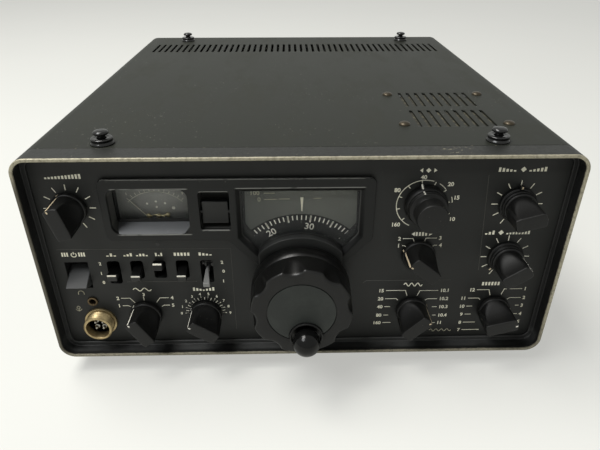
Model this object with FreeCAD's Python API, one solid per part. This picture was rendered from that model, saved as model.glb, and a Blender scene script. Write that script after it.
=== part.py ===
import FreeCAD, Part
import math
import os

# A desktop HF transceiver in a bent-sheet case, seen from its control side.
# All sizes are millimetres.  Everything is built with the front edge of the rim
# on the plane y = 0, the underside of the case on z = 0 and the middle of the
# case on x = 0.  The front faces -Y and +Z is up.  At the end each piece is
# moved, so that the origin is the bottom centre of the bounding box.
# Angles of knobs are counted from +X towards +Z, as seen from the front.

V = FreeCAD.Vector

# Case and covers
case_width = 280.0
case_height = 124.0
case_depth = 304.0


def across(share):
    """A place across the case, as a share of half its width, right is positive."""
    return share * case_width / 2


def up(share):
    """A place above the underside of the case, as a share of its height."""
    return share * case_height


corner_radius = 8.5
cover_sheet = 1.2
cover_split_z = up(0.5)
seam_gap = 0.4

# Front frame: rim, inner lip that the panel seats on, and rear tongue
frame_depth = 13.5
rim_wall = 1.8
lip_front = 8.0
lip_thickness = 1.0
lip_width = 2.6
tongue_length = 2.6
tongue_wall = 1.4

# Front panel and the steel bracket behind it
panel_thickness = 2.5
panel_fit = 0.2
bracket_gap = 12.5
bracket_sheet = 1.5
bracket_margin = 12.0
bearing_reach = 3.0

# Rear overhang of the covers, chassis and deck
rear_inset = 8.0
chassis_sheet = 1.5
chassis_margin = 10.0
deck_z = 12.0

# Raised moulding round the meter and the dial
bezel_rise = 2.6
bezel_left = across(-0.7321)
bezel_top = up(0.8871)
bezel_low = up(0.6048)
bezel_half_width = across(0.2736)
bezel_chamfer_top = up(0.6)
bezel_foot_half_width = 20.5
bezel_foot_z = up(0.45)
bezel_corner = 3.5
well_wall = 1.4

# Dial window, its collar and the disc behind it
dial_x = -0.8
dial_z = up(0.375)
window_half_width = across(0.2357)
window_top = up(0.8419)
window_chamfer_top = up(0.6113)
window_foot_half_width = 23.0
window_foot_z = up(0.5161)
window_taper = 2.6
collar_radius = 30.9
collar_half_width = 22.3
collar_reach = 5.5
collar_inner = 8.0
disc_radius = 40.2
disc_thickness = 1.0
disc_gap = 0.5
disc_hub_radius = 8.0
disc_hub_length = 5.0
mask_thickness = 1.0
mask_margin = 1.5
mask_gap = 0.5

# Meter
meter_left = across(-0.7057)
meter_right = across(-0.4164)
meter_low = up(0.6339)
meter_top = up(0.8427)
meter_corner = 5.0
meter_well_depth = 10.1
pane_thickness = 1.0
pane_lap = 1.2
meter_face_depth = 4.3
scale_thickness = 0.5
meter_case_wall = 1.5
meter_barrel_radius = 14.0
meter_barrel_length = 22.0
meter_case_drop = 6.0
needle_pivot_drop = 2.8
needle_length = 21.3
needle_tail = 2.6
needle_width = 0.5
needle_thickness = 0.4
needle_hub_radius = 1.5
needle_gap = 0.8
needle_tip_share = 0.6
needle_rest_angle = 130.4

# Meter switch in its pocket
pocket_left = across(-0.3757)
pocket_right = across(-0.265)
pocket_low = up(0.6532)
pocket_top = up(0.829)
pocket_corner = 1.5
pocket_depth = 9.0
pocket_floor = 1.2
rocker_side_gap = 0.9
rocker_height = 12.5
rocker_centre_z = up(0.7298)
rocker_front = 1.4
rocker_thickness = 4.2
rocker_hollow = 0.9
rocker_axle_reach = 1.0

# Main tuning knob with its inlay and spinner
knob_gap = 1.5
knob_length = 22.4
knob_back_radius = 26.9
knob_front_radius = 26.5
knob_edge = 0.8
knob_turned = 9.0
scallop_count = 8
scallop_radius = 9.0
scallop_depth = 2.7
scallop_length = 10.5
knob_hollow_radius = 21.5
knob_hollow_depth = 11.0
knob_boss_radius = 8.0
inlay_radius = 18.1
inlay_depth = 0.8
inlay_groove = 0.4
spinner_offset = 15.4
spinner_ball = 7.3
spinner_boss_radius = 8.8
spinner_boss_height = 1.0
spinner_cup_radius = 7.9
spinner_cup_depth = 1.6
spinner_proud = 4.9
spinner_pin_radius = 2.2
spinner_pin_length = 8.0
spinner_flat_gap = 0.6

# Shafts and running fits
shaft_radius = 3.0
inner_shaft_radius = 1.5
running_fit = 0.05
shaft_length_in_body = 8.0
shaft_in_knob = 9.0
shaft_end_gap = 2.0
panel_hole_radius = 5.0
bushing_radius = 4.4
bushing_reach = 9.5
nut_radius = 6.5
nut_thickness = 2.2

# Single knobs: a skirt, a round body and a grip bar with scooped sides
knob_panel_gap = 0.8
skirt_radius = 9.2
skirt_height = 2.8
skirt_edge = 0.7
body_radius = 8.5
knob_height = 18.0
bar_width = 7.6
bar_tail_reach = 0.6
bar_tail_corner = 3.2
scoop_radius = 22.0
scoop_start = 0.6

# Concentric pairs: the outer ring and the smaller inner knob
ring_radius = 9.6
ring_height = 5.6
ring_top_radius = 8.6
ring_lug = 1.5
ring_lug_width = 2.4
ring_lug_height = 1.8
ring_edge = 0.5
ring_foot = 1.2
inner_body_radius = 7.4
inner_bar_width = 7.6
pair_gap = 0.5
pair_height = 21.0

# Round preselector knob
cap_radius = 8.1
cap_skirt_radius = 11.2
cap_step_radius = 9.9
cap_height = 17.0
cap_edge = 0.8
cap_flare = 0.3
cap_step_height = 7.0
cap_waist_height = 3.5
cap_slope_height = 2.2
cap_foot = 1.4
cap_lug_reach = 13.8
cap_lug_half = 2.2
cap_lug_height = 2.1

# Levers in their pockets
lever_pivot_depth = 9.5
lever_reach = 5.6
lever_width = 5.2
lever_height = 4.2
lever_pivot_radius = 2.4
lever_pin_radius = 1.2
lever_slot_width = 6.8
lever_slot_corner = 1.5
lever_body_room = 1.0
bat_reach = 13.0
bat_root = 1.8
bat_tip = 3.6
bat_thickness = 2.6
lever_body_wall = 1.6
lever_side_gap = 0.5

# Power rocker
power_x = across(-0.8771)
power_z = up(0.4161)
power_width = 11.5
power_height = 17.0
power_side_gap = 0.5
power_pivot_depth = 1.0
power_drum_radius = 6.9
power_pin_back = 3.0
power_top_rise = 1.8
power_top_reach = -2.5
power_bottom_drop = 3.9
power_bottom_reach = 8.2
power_pin_radius = 1.2

# Sockets at the lower left
phones_x = across(-0.8464)
phones_z = up(0.2726)
phones_bore = 1.75
phones_thread_radius = 2.4
phones_nut_radius = 2.9
phones_nut_height = 1.0
phones_body_half = 4.5
phones_body_length = 11.0
mic_x = across(-0.83)
mic_z = up(0.1565)
mic_radius = 8.0
mic_bore = 6.3
mic_reach = 7.5
mic_flange_radius = 9.2
mic_flange = 1.2
mic_insert_depth = 5.5
mic_pin_radius = 0.9
mic_pin_circle = 3.1
mic_pin_height = 3.2
mic_pin_count = 4
mic_body_length = 8.0

# Loudspeaker and its slots in the cover
speaker_x = across(0.6164)
speaker_y = 75.0
speaker_screw_pitch = 58.0
speaker_flange_margin = 5.0
speaker_radius = 36.0
speaker_flange = 1.2
speaker_depth = 22.0
speaker_throat_radius = 16.0
speaker_magnet_radius = 15.0
speaker_magnet_length = 9.0
cone_thickness = 0.6
cone_rise = 4.0
cone_neck_radius = 8.0
cone_cap_radius = 6.0
cone_cap_height = 2.0
cone_cap_crown = 3.0
cone_lip = 1.4
basket_wall = 1.2
slot_width = 2.0
slot_pitch = 5.2
slot_count = 9
slot_length = 29.0
slot_row_gap = 8.0

# Rear vent row
vent_margin = 17.5
vent_pitch = 5.1
vent_length = 32.0
vent_from_rear = 34.0

# Pull fasteners of the cover
fastener_x = across(0.7143)
fastener_front_y = 20.0
fastener_rear_inset = 15.5
grommet_radius = 6.0
grommet_foot_radius = 4.8
grommet_height = 3.4
grommet_neck = 3.6
grommet_below = 5.0
plunger_head_radius = 3.9
plunger_head_height = 2.2
plunger_neck_radius = 2.0
plunger_neck_height = 1.2
plunger_gap = 0.4

# Feet and screws
foot_height = 12.0
foot_radius = 10.0
foot_top_radius = 11.0
foot_edge = 1.0
foot_x = across(0.8)
foot_front_y = 34.0
foot_rear_inset = 34.0
foot_recess_radius = 4.5
foot_recess_depth = 7.0
screw_head_radius = 3.2
screw_head_height = 1.8
screw_shank_radius = 1.5
rear_screw_inset = 6.0
rear_screw_margin = 4.0
side_screw_z_offset = 10.0
side_screw_inset = 50.0

# Main tuning drive
vfo_half_width = 33.0
vfo_gap = 4.5
vfo_length = 70.0
vfo_wall = 2.5
vfo_room = 2.3
gear_module = 0.8
gear_tip_share = 0.9
gear_root_share = 1.2
tooth_tip_share = 0.11
tooth_root_share = 0.27
pinion_teeth = 15
pinion_overlap = 0.5
gear_teeth = 60
gear_width = 5.0
gear_inset = 6.0
rotor_radius = 19.0
rotor_count = 5
rotor_pitch = 5.0
rotor_plate = 1.2
gear_shaft_overhang = 2.0
web_inset = 12.0

# Controls behind the panel
pot_radius = 10.0
pot_length = 14.0
pair_pot_length = 26.0
wafer_radius = 10.5
wafer_count = 3
wafer_pitch = 12.0
wafer_thickness = 1.6
detent_length = 6.0
tie_rod_radius = 1.2
tie_rod_offset = 8.0

# Circuit boards
board_count = 5
board_pitch = 15.0
board_first_x = across(-0.8429)
board_thickness = 1.6
board_height = up(0.5806)
board_socket_side = 2.5
board_socket_height = 8.0
board_socket_end = 20.0
board_length = 140.0
board_rear_gap = 25.0

# Rear: heat sink and sockets
sink_half_width = across(0.4429)
sink_base = 4.0
sink_fin_count = 17
sink_fin_thickness = 1.8
sink_fin_depth = 15.0
sink_low = up(0.1613)
sink_high = up(0.871)
antenna_x = across(0.7143)
antenna_z = up(0.7258)
antenna_radius = 7.94
antenna_length = 13.0
antenna_flange_half = 12.7
antenna_flange = 2.0
antenna_cavity_radius = 5.6
antenna_cavity_depth = 8.0
antenna_contact_radius = 2.8
antenna_bore = 2.0
phono_x = across(-0.8)
phono_z = up(0.3387)
phono_pitch = 18.0
phono_columns = 2
phono_rows = 3
phono_radius = 4.15
phono_length = 8.0
phono_bore = 1.65
phono_base_radius = 6.5
phono_base = 1.5
inlet_x = across(0.7143)
inlet_z = up(0.4194)
inlet_width = 34.0
inlet_height = 20.0
inlet_reach = 12.0
inlet_wall = 2.5
inlet_depth = 10.0
inlet_pin_radius = 1.0
inlet_pin_rise = 4.4
inlet_pin_pitch = 7.0
inlet_pin_count = 4
inlet_pin_inset = 2.0
stud_x = across(0.7143)
stud_z = up(0.1935)
stud_radius = 2.0
stud_length = 14.0
stud_nut_radius = 6.0
stud_nut_length = 6.0

# Places of the controls on the panel, with the angle that each bar points to
vox_place = (across(-0.85), up(0.7524), 105.0)
mode_place = (across(-0.6393), up(0.1948), 121.0)
reject_place = (across(-0.395), up(0.1952), 146.0)
preselector_place = (across(0.4579), up(0.754), 101.0)
select_place = (across(0.4529), up(0.5081), 141.0)
drive_place = (across(0.7993), up(0.7524), 16.0)
clarifier_angle = 90.0
af_place = (across(0.7979), up(0.4903), 35.0)
rf_angle = 220.0
band_place = (across(0.4557), up(0.2), 45.0)
channel_place = (across(0.7957), up(0.2), 15.0)

# Levers: name, x, middle of the pocket, length of the pocket, turn at rest
lever_rows = [
    ("agc_lever", across(-0.735), up(0.4282), 14.8, 0.0),
    ("processor_lever", across(-0.6443), up(0.4419), 11.5, -9.0),
    ("blanker_lever", across(-0.5564), up(0.4419), 11.5, 18.0),
    ("marker_lever", across(-0.4679), up(0.4419), 11.5, -9.0),
    ("clarifier_lever", across(-0.3729), up(0.4282), 14.8, 0.0),
]

# Planes and places that follow from the sizes above
half_width = case_width / 2
panel_y = lip_front + lip_thickness
panel_back = panel_y + panel_thickness
bracket_y = panel_back + bracket_gap
bracket_back = bracket_y + bracket_sheet
bezel_y = panel_y - bezel_rise
rear_y = case_depth - rear_inset
side_outer = half_width - cover_sheet
side_inner = side_outer - chassis_sheet
deck_top = deck_z + chassis_sheet
collar_front = panel_y - collar_reach
knob_back = collar_front - knob_gap
knob_front = knob_back - knob_length
spinner_front = knob_front - spinner_proud - spinner_ball
vfo_front = bracket_back + vfo_gap
vfo_back = vfo_front + vfo_length
gear_y = vfo_front + vfo_wall + gear_inset
gear_distance = gear_module * (pinion_teeth + gear_teeth) / 2
gear_reach = gear_module * (gear_teeth / 2 + gear_tip_share)
vfo_top = dial_z + gear_distance + gear_reach + vfo_room + vfo_wall
vent_count = round((case_width - 2 * vent_margin) / vent_pitch) + 1
rear_face = rear_y + chassis_sheet
sink_back = rear_face + sink_base + sink_fin_depth
antenna_back = rear_face + antenna_flange + antenna_length
stud_back = rear_face + stud_length
rear_reach = max(case_depth, sink_back, antenna_back, stud_back)
place = V(0, -(spinner_front + rear_reach) / 2, foot_height)
over = 1.0


os.makedirs("parts", exist_ok=True)


def save(name, shape):
    """Write one sub-part, moved to the shared origin."""
    moved = shape.copy()
    moved.translate(place)
    moved.exportStep("parts/" + name + ".step")
    print(name, len(moved.Solids), "solids", round(moved.Volume), "mm3", moved.isValid())


def block(x0, x1, y0, y1, z0, z1):
    return Part.makeBox(x1 - x0, y1 - y0, z1 - z0, V(x0, y0, z0))


def rod(x, z, radius, y0, y1):
    """A round bar along Y."""
    return Part.makeCylinder(radius, y1 - y0, V(x, y0, z), V(0, 1, 0))


def pipe(x, z, outer, inner, y0, y1):
    return rod(x, z, outer, y0, y1).cut(rod(x, z, inner, y0 - over, y1 + over))


def post(x, y, radius, z0, z1):
    """A round bar along Z."""
    return Part.makeCylinder(radius, z1 - z0, V(x, y, z0), V(0, 0, 1))


def pin(x0, x1, y, z, radius):
    """A round bar along X."""
    return Part.makeCylinder(radius, x1 - x0, V(x0, y, z), V(1, 0, 0))


def slab(points, y0, y1):
    """A plate whose outline lies in the XZ plane."""
    corners = [V(x, y0, z) for x, z in points]
    outline = Part.makePolygon(corners + [corners[0]])
    return Part.Face(outline).extrude(V(0, y1 - y0, 0))


def side_slab(points, x0, x1):
    """A plate whose outline of (y, z) points lies in the YZ plane."""
    corners = [V(x0, y, z) for y, z in points]
    outline = Part.makePolygon(corners + [corners[0]])
    return Part.Face(outline).extrude(V(x1 - x0, 0, 0))


def turned(profile, x, z):
    """Revolve (radius, y) points about the Y axis through (x, z)."""
    corners = [V(x + radius, y, z) for radius, y in profile]
    outline = Part.makePolygon(corners + [corners[0]])
    return Part.Face(outline).revolve(V(x, 0, z), V(0, 1, 0), 360)


def turned_up(profile, x, y):
    """Revolve (radius, z) points about the Z axis through (x, y)."""
    corners = [V(x + radius, y, z) for radius, z in profile]
    outline = Part.makePolygon(corners + [corners[0]])
    return Part.Face(outline).revolve(V(x, y, 0), V(0, 0, 1), 360)


def round_edges_along_y(shape, radius):
    edges = [e for e in shape.Edges if abs(e.tangentAt(e.FirstParameter).y) > 0.99]
    return shape.makeFillet(radius, edges)


def rounded_block(x0, x1, z0, z1, radius, y0, y1):
    return round_edges_along_y(block(x0, x1, y0, y1, z0, z1), radius)


def case_block(inset, y0, y1):
    """The rounded outline of the case, drawn in by an inset."""
    return rounded_block(-half_width + inset, half_width - inset, inset, case_height - inset,
                         corner_radius - inset, y0, y1)


def spin(shape, x, z, angle):
    """Turn a shape about the Y axis through (x, z), counted as seen from the front."""
    done = shape.copy()
    done.rotate(V(x, 0, z), V(0, -1, 0), angle)
    return done


def front_frame():
    ring = case_block(0, 0, frame_depth)
    ring = ring.cut(case_block(rim_wall, -over, lip_front))
    ring = ring.cut(case_block(rim_wall + lip_width, -over, frame_depth + over))
    ring = ring.cut(case_block(rim_wall, panel_y, frame_depth + over))
    tongue_outer = case_block(cover_sheet, panel_back + panel_fit, frame_depth + tongue_length)
    tongue_inner = case_block(cover_sheet + tongue_wall, 0, frame_depth + tongue_length + over)
    ring = ring.fuse(tongue_outer.cut(tongue_inner))
    return ring.removeSplitter()


single_controls = [vox_place, mode_place, reject_place, preselector_place, select_place,
                   drive_place, af_place, band_place, channel_place]


def dial_outline(grow):
    """The six-cornered dial window, larger on every side by grow."""
    half = window_half_width + grow
    foot = window_foot_half_width + grow / 2
    low = window_foot_z - grow
    return [(dial_x - half, window_top + grow), (dial_x + half, window_top + grow),
            (dial_x + half, window_chamfer_top - grow / 2), (dial_x + foot, low),
            (dial_x - foot, low), (dial_x - half, window_chamfer_top - grow / 2)]


def collar(y0, y1):
    """The arch round the main knob, with straight sides above its middle."""
    arch = rod(dial_x, dial_z, collar_radius, y0, y1)
    sides = block(dial_x - collar_half_width, dial_x + collar_half_width, y0, y1,
                  dial_z, dial_z + collar_radius + over)
    lower = rod(dial_x, dial_z, collar_half_width, y0, y1)
    return arch.common(sides).fuse(lower)


def front_panel():
    plate = case_block(rim_wall + panel_fit, panel_y, panel_back)
    y0, y1 = panel_y - over, panel_back + over
    for x, z, angle in single_controls:
        plate = plate.cut(rod(x, z, panel_hole_radius, y0, y1))
    for name, x, z, length, turn in lever_rows:
        half = lever_slot_width / 2
        plate = plate.cut(rounded_block(x - half, x + half, z - length / 2, z + length / 2,
                                        lever_slot_corner, y0, y1))
    half = power_width / 2 + power_side_gap
    plate = plate.cut(block(power_x - half, power_x + half, y0, y1,
                            power_z - power_height / 2, power_z + power_height / 2))
    plate = plate.cut(rod(phones_x, phones_z, phones_thread_radius, y0, y1))
    plate = plate.cut(rod(mic_x, mic_z, mic_radius, y0, y1))
    window = slab(dial_outline(0), y0, y1).cut(collar(y0 - over, y1 + over))
    plate = plate.cut(window)
    plate = plate.cut(rod(dial_x, dial_z, collar_inner, y0, y1))
    lap = well_wall
    plate = plate.cut(block(meter_left - lap, meter_right + lap, y0, y1, meter_low - lap, meter_top + lap))
    plate = plate.cut(block(pocket_left - lap, pocket_right + lap, y0, y1,
                            pocket_low - lap, pocket_top + lap))
    return plate


def bezel_outline():
    left = dial_x - bezel_half_width
    right = dial_x + bezel_half_width
    foot = bezel_foot_half_width
    return [(bezel_left, bezel_low), (bezel_left, bezel_top), (right, bezel_top),
            (right, bezel_chamfer_top), (dial_x + foot, bezel_foot_z), (dial_x - foot, bezel_foot_z),
            (left, bezel_chamfer_top)]


def dial_escutcheon():
    plate = round_edges_along_y(slab(bezel_outline(), bezel_y, panel_y), bezel_corner)
    low_arch = collar(collar_front, panel_y)
    plate = plate.fuse(low_arch)
    # The dial opening tapers from the front to the panel.
    rings = []
    for grow, y in ((0, bezel_y), (-window_taper, panel_y)):
        corners = [V(x, y, z) for x, z in dial_outline(grow)]
        rings.append(Part.makePolygon(corners + [corners[0]]))
    opening = Part.makeLoft(rings, True).cut(collar(collar_front - over, panel_y + over))
    plate = plate.cut(opening)
    plate = plate.cut(rod(dial_x, dial_z, collar_inner, collar_front - over, panel_y + over))
    # Walls of the meter well and of the switch pocket reach back through the panel.
    well_back = bezel_y + meter_well_depth
    w = well_wall
    plate = plate.fuse(block(meter_left - w, meter_right + w, panel_y, well_back,
                             meter_low - w, meter_top + w))
    plate = plate.cut(rounded_block(meter_left, meter_right, meter_low, meter_top, meter_corner,
                                    bezel_y - over, well_back + over))
    pocket_back = bezel_y + pocket_depth
    plate = plate.fuse(block(pocket_left - w, pocket_right + w, panel_y, pocket_back + pocket_floor,
                             pocket_low - w, pocket_top + w))
    plate = plate.cut(rounded_block(pocket_left, pocket_right, pocket_low, pocket_top, pocket_corner,
                                    bezel_y - over, pocket_back))
    plate = plate.cut(pin(pocket_left - w - over, pocket_right + w + over, rocker_pivot_y(),
                          rocker_centre_z, lever_pin_radius + running_fit))
    return plate.removeSplitter()


def rocker_pivot_y():
    return bezel_y + rocker_front + rocker_thickness / 2


def window_panes():
    dial = slab(dial_outline(-panel_fit), panel_y, panel_y + pane_thickness)
    dial = dial.cut(collar(panel_y - over, panel_back))
    grown = collar_radius + panel_fit
    dial = dial.cut(rod(dial_x, dial_z, grown, panel_y - over, panel_back))
    well_back = bezel_y + meter_well_depth
    meter = block(meter_left - pane_lap, meter_right + pane_lap, well_back, well_back + pane_thickness,
                  meter_low - pane_lap, meter_top + pane_lap)
    return Part.makeCompound([dial, meter])


def dial_mask():
    grow = mask_margin
    plate = slab(dial_outline(grow), panel_back, panel_back + mask_thickness)
    return plate.cut(rod(dial_x, dial_z, disc_radius + mask_gap, panel_back - over, bracket_y))


def dial_disc():
    front = panel_back + disc_gap
    back = front + disc_thickness
    disc = rod(dial_x, dial_z, disc_radius, front, back)
    disc = disc.fuse(rod(dial_x, dial_z, disc_hub_radius, back, back + disc_hub_length))
    return disc.cut(rod(dial_x, dial_z, shaft_radius, front - over, back + disc_hub_length + over))


def meter_planes():
    pane_back = bezel_y + meter_well_depth + pane_thickness
    face = pane_back + meter_face_depth
    return pane_back, face


def meter_case():
    """An open box behind the pane; its lower part is hidden and holds the pivot."""
    pane_back, face = meter_planes()
    w = meter_case_wall
    low = meter_low - meter_case_drop
    back = face + scale_thickness
    body = block(meter_left - w, meter_right + w, pane_back, back + w, low - w, meter_top + w)
    body = body.cut(block(meter_left, meter_right, pane_back - over, back, meter_low, meter_top))
    body = body.cut(block(meter_left, meter_right, pane_back + w, back, low, meter_low + over))
    middle = (meter_left + meter_right) / 2
    barrel_z = (meter_low + meter_top) / 2
    return body.fuse(rod(middle, barrel_z, meter_barrel_radius, back + w, back + w + meter_barrel_length))


def meter_scale():
    pane_back, face = meter_planes()
    return block(meter_left, meter_right, face, face + scale_thickness,
                 meter_low - meter_case_drop, meter_top)


def meter_needle():
    """A thin pointer with its hub and a short counterweight tail."""
    pane_back, face = meter_planes()
    x = (meter_left + meter_right) / 2
    z = meter_low - needle_pivot_drop
    y0 = face - needle_gap - needle_thickness
    y1 = face - needle_gap
    half = needle_width / 2
    blade = slab([(x - needle_tail, z - half * 2), (x - needle_tail, z + half * 2),
                  (x, z + half), (x + needle_length, z + half * needle_tip_share),
                  (x + needle_length, z - half * needle_tip_share), (x, z - half)], y0, y1)
    hub = rod(x, z, needle_hub_radius, y0 - needle_thickness, y1)
    return spin(blade.fuse(hub), x, z, needle_rest_angle)


def meter_rocker():
    """A block whose front has a shallow hollow for the finger."""
    x0 = pocket_left + rocker_side_gap
    x1 = pocket_right - rocker_side_gap
    y0 = bezel_y + rocker_front
    z0 = rocker_centre_z - rocker_height / 2
    body = block(x0, x1, y0, y0 + rocker_thickness, z0, z0 + rocker_height)
    half = rocker_height / 2
    hollow_radius = (half * half + rocker_hollow * rocker_hollow) / (2 * rocker_hollow)
    hollow = pin(x0 - over, x1 + over, y0 - hollow_radius + rocker_hollow, rocker_centre_z, hollow_radius)
    body = body.cut(hollow)
    axle = pin(pocket_left - rocker_axle_reach, pocket_right + rocker_axle_reach, rocker_pivot_y(),
               rocker_centre_z, lever_pin_radius)
    return body.fuse(axle)


def main_knob_axis_angle():
    return 270.0 + knob_turned


def spinner_place():
    angle = math.radians(main_knob_axis_angle())
    return dial_x + spinner_offset * math.cos(angle), dial_z + spinner_offset * math.sin(angle)


def tuning_knob():
    """The scalloped main knob, hollow behind, with a seat for inlay and spinner."""
    profile = [(0, knob_front), (knob_front_radius - knob_edge, knob_front),
               (knob_front_radius, knob_front + knob_edge), (knob_back_radius, knob_back - knob_edge),
               (knob_back_radius - knob_edge, knob_back), (0, knob_back)]
    knob = turned(profile, dial_x, dial_z)
    hollow = pipe(dial_x, dial_z, knob_hollow_radius, knob_boss_radius, knob_back - knob_hollow_depth,
                  knob_back + over)
    knob = knob.cut(hollow)
    shaft_end = knob_back - shaft_in_knob - shaft_end_gap
    knob = knob.cut(rod(dial_x, dial_z, shaft_radius, shaft_end, knob_back + over))
    # Each finger scallop is a slanted cut that fades out towards the back.
    start = V(0, knob_front - over, 0)
    slope = scallop_depth / scallop_length
    for k in range(scallop_count):
        angle = main_knob_axis_angle() - 180.0 + k * 360.0 / scallop_count
        rise = knob_front_radius - scallop_depth + scallop_radius - slope * over
        cutter = Part.makeCylinder(scallop_radius, scallop_length * 2, V(dial_x + rise, start.y, dial_z),
                                   V(slope, 1, 0))
        knob = knob.cut(spin(cutter, dial_x, dial_z, angle))
    x, z = spinner_place()
    knob = knob.fuse(rod(x, z, spinner_boss_radius, knob_front - spinner_boss_height, knob_front + over))
    knob = knob.cut(rod(x, z, spinner_cup_radius, knob_front - spinner_boss_height - over,
                        knob_front + spinner_cup_depth))
    pin_end = knob_front + spinner_cup_depth + spinner_pin_length
    hole_end = pin_end + spinner_flat_gap
    knob = knob.cut(rod(x, z, spinner_pin_radius + running_fit, knob_front - over, hole_end))
    seat = rod(dial_x, dial_z, inlay_radius, knob_front - over, knob_front + inlay_depth)
    seat = seat.cut(rod(x, z, spinner_boss_radius, knob_front - over * 2, knob_front + over + inlay_depth))
    return knob.cut(seat)


def knob_inlay():
    x, z = spinner_place()
    disc = rod(dial_x, dial_z, inlay_radius - inlay_groove, knob_front, knob_front + inlay_depth)
    return disc.cut(rod(x, z, spinner_boss_radius + inlay_groove, knob_front - over, knob_front + over * 2))


def spinner_knob():
    x, z = spinner_place()
    centre_y = knob_front - spinner_proud
    ball = Part.makeSphere(spinner_ball, V(x, centre_y, z))
    flat = knob_front + spinner_cup_depth - spinner_flat_gap
    ball = ball.cut(rod(x, z, spinner_ball * 2, flat, flat + spinner_ball * 2))
    neck_end = knob_front + spinner_cup_depth + spinner_pin_length
    return ball.fuse(rod(x, z, spinner_pin_radius, centre_y, neck_end))


def gear_outline(teeth, x, z, first_angle):
    """Trapezoid teeth, with backlash, as points round a centre."""
    pitch = 2 * math.pi / teeth
    radius = gear_module * teeth / 2
    tip = radius + gear_tip_share * gear_module
    root = radius - gear_root_share * gear_module
    points = []
    for k in range(teeth):
        middle = math.radians(first_angle) + k * pitch
        for reach, share in ((root, -tooth_root_share), (tip, -tooth_tip_share),
                             (tip, tooth_tip_share), (root, tooth_root_share)):
            angle = middle + share * pitch
            points.append((x + reach * math.cos(angle), z + reach * math.sin(angle)))
    return points


def tuning_shaft():
    """The main spindle with its pinion."""
    front = knob_back - shaft_in_knob
    back = gear_y + gear_width + over
    shaft = rod(dial_x, dial_z, shaft_radius, front, back)
    pinion = slab(gear_outline(pinion_teeth, dial_x, dial_z, 90.0), gear_y - pinion_overlap,
                  gear_y + gear_width + pinion_overlap)
    return shaft.fuse(pinion)


def vfo_gear():
    """The driven gear on the spindle of the variable capacitor, with its vanes."""
    x = dial_x
    z = dial_z + gear_distance
    half_tooth = 180.0 / gear_teeth
    gear = slab(gear_outline(gear_teeth, x, z, half_tooth), gear_y, gear_y + gear_width)
    spindle = rod(x, z, shaft_radius, vfo_front - gear_shaft_overhang, vfo_back - web_inset + vfo_wall + over)
    gear = gear.fuse(spindle)
    first = gear_y + gear_width + rotor_pitch
    for k in range(rotor_count):
        y = first + k * rotor_pitch
        vane = rod(x, z, rotor_radius, y, y + rotor_plate)
        gear = gear.fuse(vane.cut(block(x - rotor_radius, x + rotor_radius,
                                        y - over, y + rotor_plate + over,
                                        z - rotor_radius, z - shaft_radius)))
    return gear


def vfo_box():
    """The cast box of the tuning drive, open at its back, with a bearing web."""
    x0, x1 = dial_x - vfo_half_width, dial_x + vfo_half_width
    w = vfo_wall
    box = block(x0, x1, vfo_front, vfo_back, deck_top, vfo_top)
    box = box.cut(block(x0 + w, x1 - w, vfo_front + w, vfo_back + over, deck_top + w, vfo_top - w))
    web_y = vfo_back - web_inset
    box = box.fuse(block(x0, x1, web_y, web_y + w, deck_top, vfo_top))
    bore = shaft_radius + running_fit
    box = box.cut(rod(dial_x, dial_z, bore, vfo_front - over, vfo_front + w + over))
    return box.cut(rod(dial_x, dial_z + gear_distance, bore, vfo_front - over, vfo_back))


def bar_grip(radius, width, front, back):
    """A round body whose front is cut away on both sides of a grip bar.

    The bar points to +X, and its other end stands out a little."""
    body = rod(0, 0, radius, front, back)
    half = width / 2
    tail = block(-radius - bar_tail_reach, 0, front, back, -half, half)
    body = body.fuse(round_edges_along_y(tail, bar_tail_corner))
    axis_y = front + scoop_start
    for side in (1, -1):
        edge = side * half
        far = side * (half + radius * 2)
        low, high = min(edge, far), max(edge, far)
        body = body.cut(block(-radius * 2, radius * 2, front - over, axis_y, low, high))
        centre = side * (half + scoop_radius)
        body = body.cut(pin(-radius * 2, radius * 2, axis_y, centre, scoop_radius))
    return body


def single_knob(control):
    """Skirt, grip and shaft of a knob that stands alone."""
    x, z, angle = control
    back = panel_y - knob_panel_gap
    front = panel_y - knob_height
    top = back - skirt_height
    skirt = turned([(0, top), (skirt_radius - skirt_edge, top), (skirt_radius, top + skirt_edge),
                    (skirt_radius, back), (0, back)], 0, 0)
    knob = bar_grip(body_radius, bar_width, front, top + skirt_edge).fuse(skirt)
    return knob_on_shaft(knob, back, shaft_radius, x, z, angle)


def knob_on_shaft(knob, back, radius, x, z, angle):
    """Bore a knob, put its shaft in, turn it and set it in its place."""
    knob = knob.cut(rod(0, 0, radius, back - shaft_in_knob, back + over))
    shaft = rod(0, 0, radius, back - shaft_in_knob, bracket_back + shaft_length_in_body)
    pair = Part.makeCompound([knob, shaft])
    pair.translate(V(x, 0, z))
    return spin(pair, x, z, angle)


def preselector_knob():
    x, z, angle = preselector_place
    back = panel_y - knob_panel_gap
    front = panel_y - cap_height
    step = back - cap_step_height
    knob = turned([(0, front), (cap_radius - cap_edge, front), (cap_radius, front + cap_edge),
                   (cap_radius + cap_flare, step), (cap_step_radius, step),
                   (cap_step_radius, back - cap_waist_height),
                   (cap_skirt_radius - cap_edge, back - cap_slope_height),
                   (cap_skirt_radius, back - cap_foot), (cap_skirt_radius, back), (0, back)], 0, 0)
    root = cap_step_radius - over
    knob = knob.fuse(slab([(root, -cap_lug_half), (cap_lug_reach, 0), (root, cap_lug_half)],
                          back - cap_lug_height, back))
    return knob_on_shaft(knob, back, shaft_radius, x, z, angle)


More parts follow.
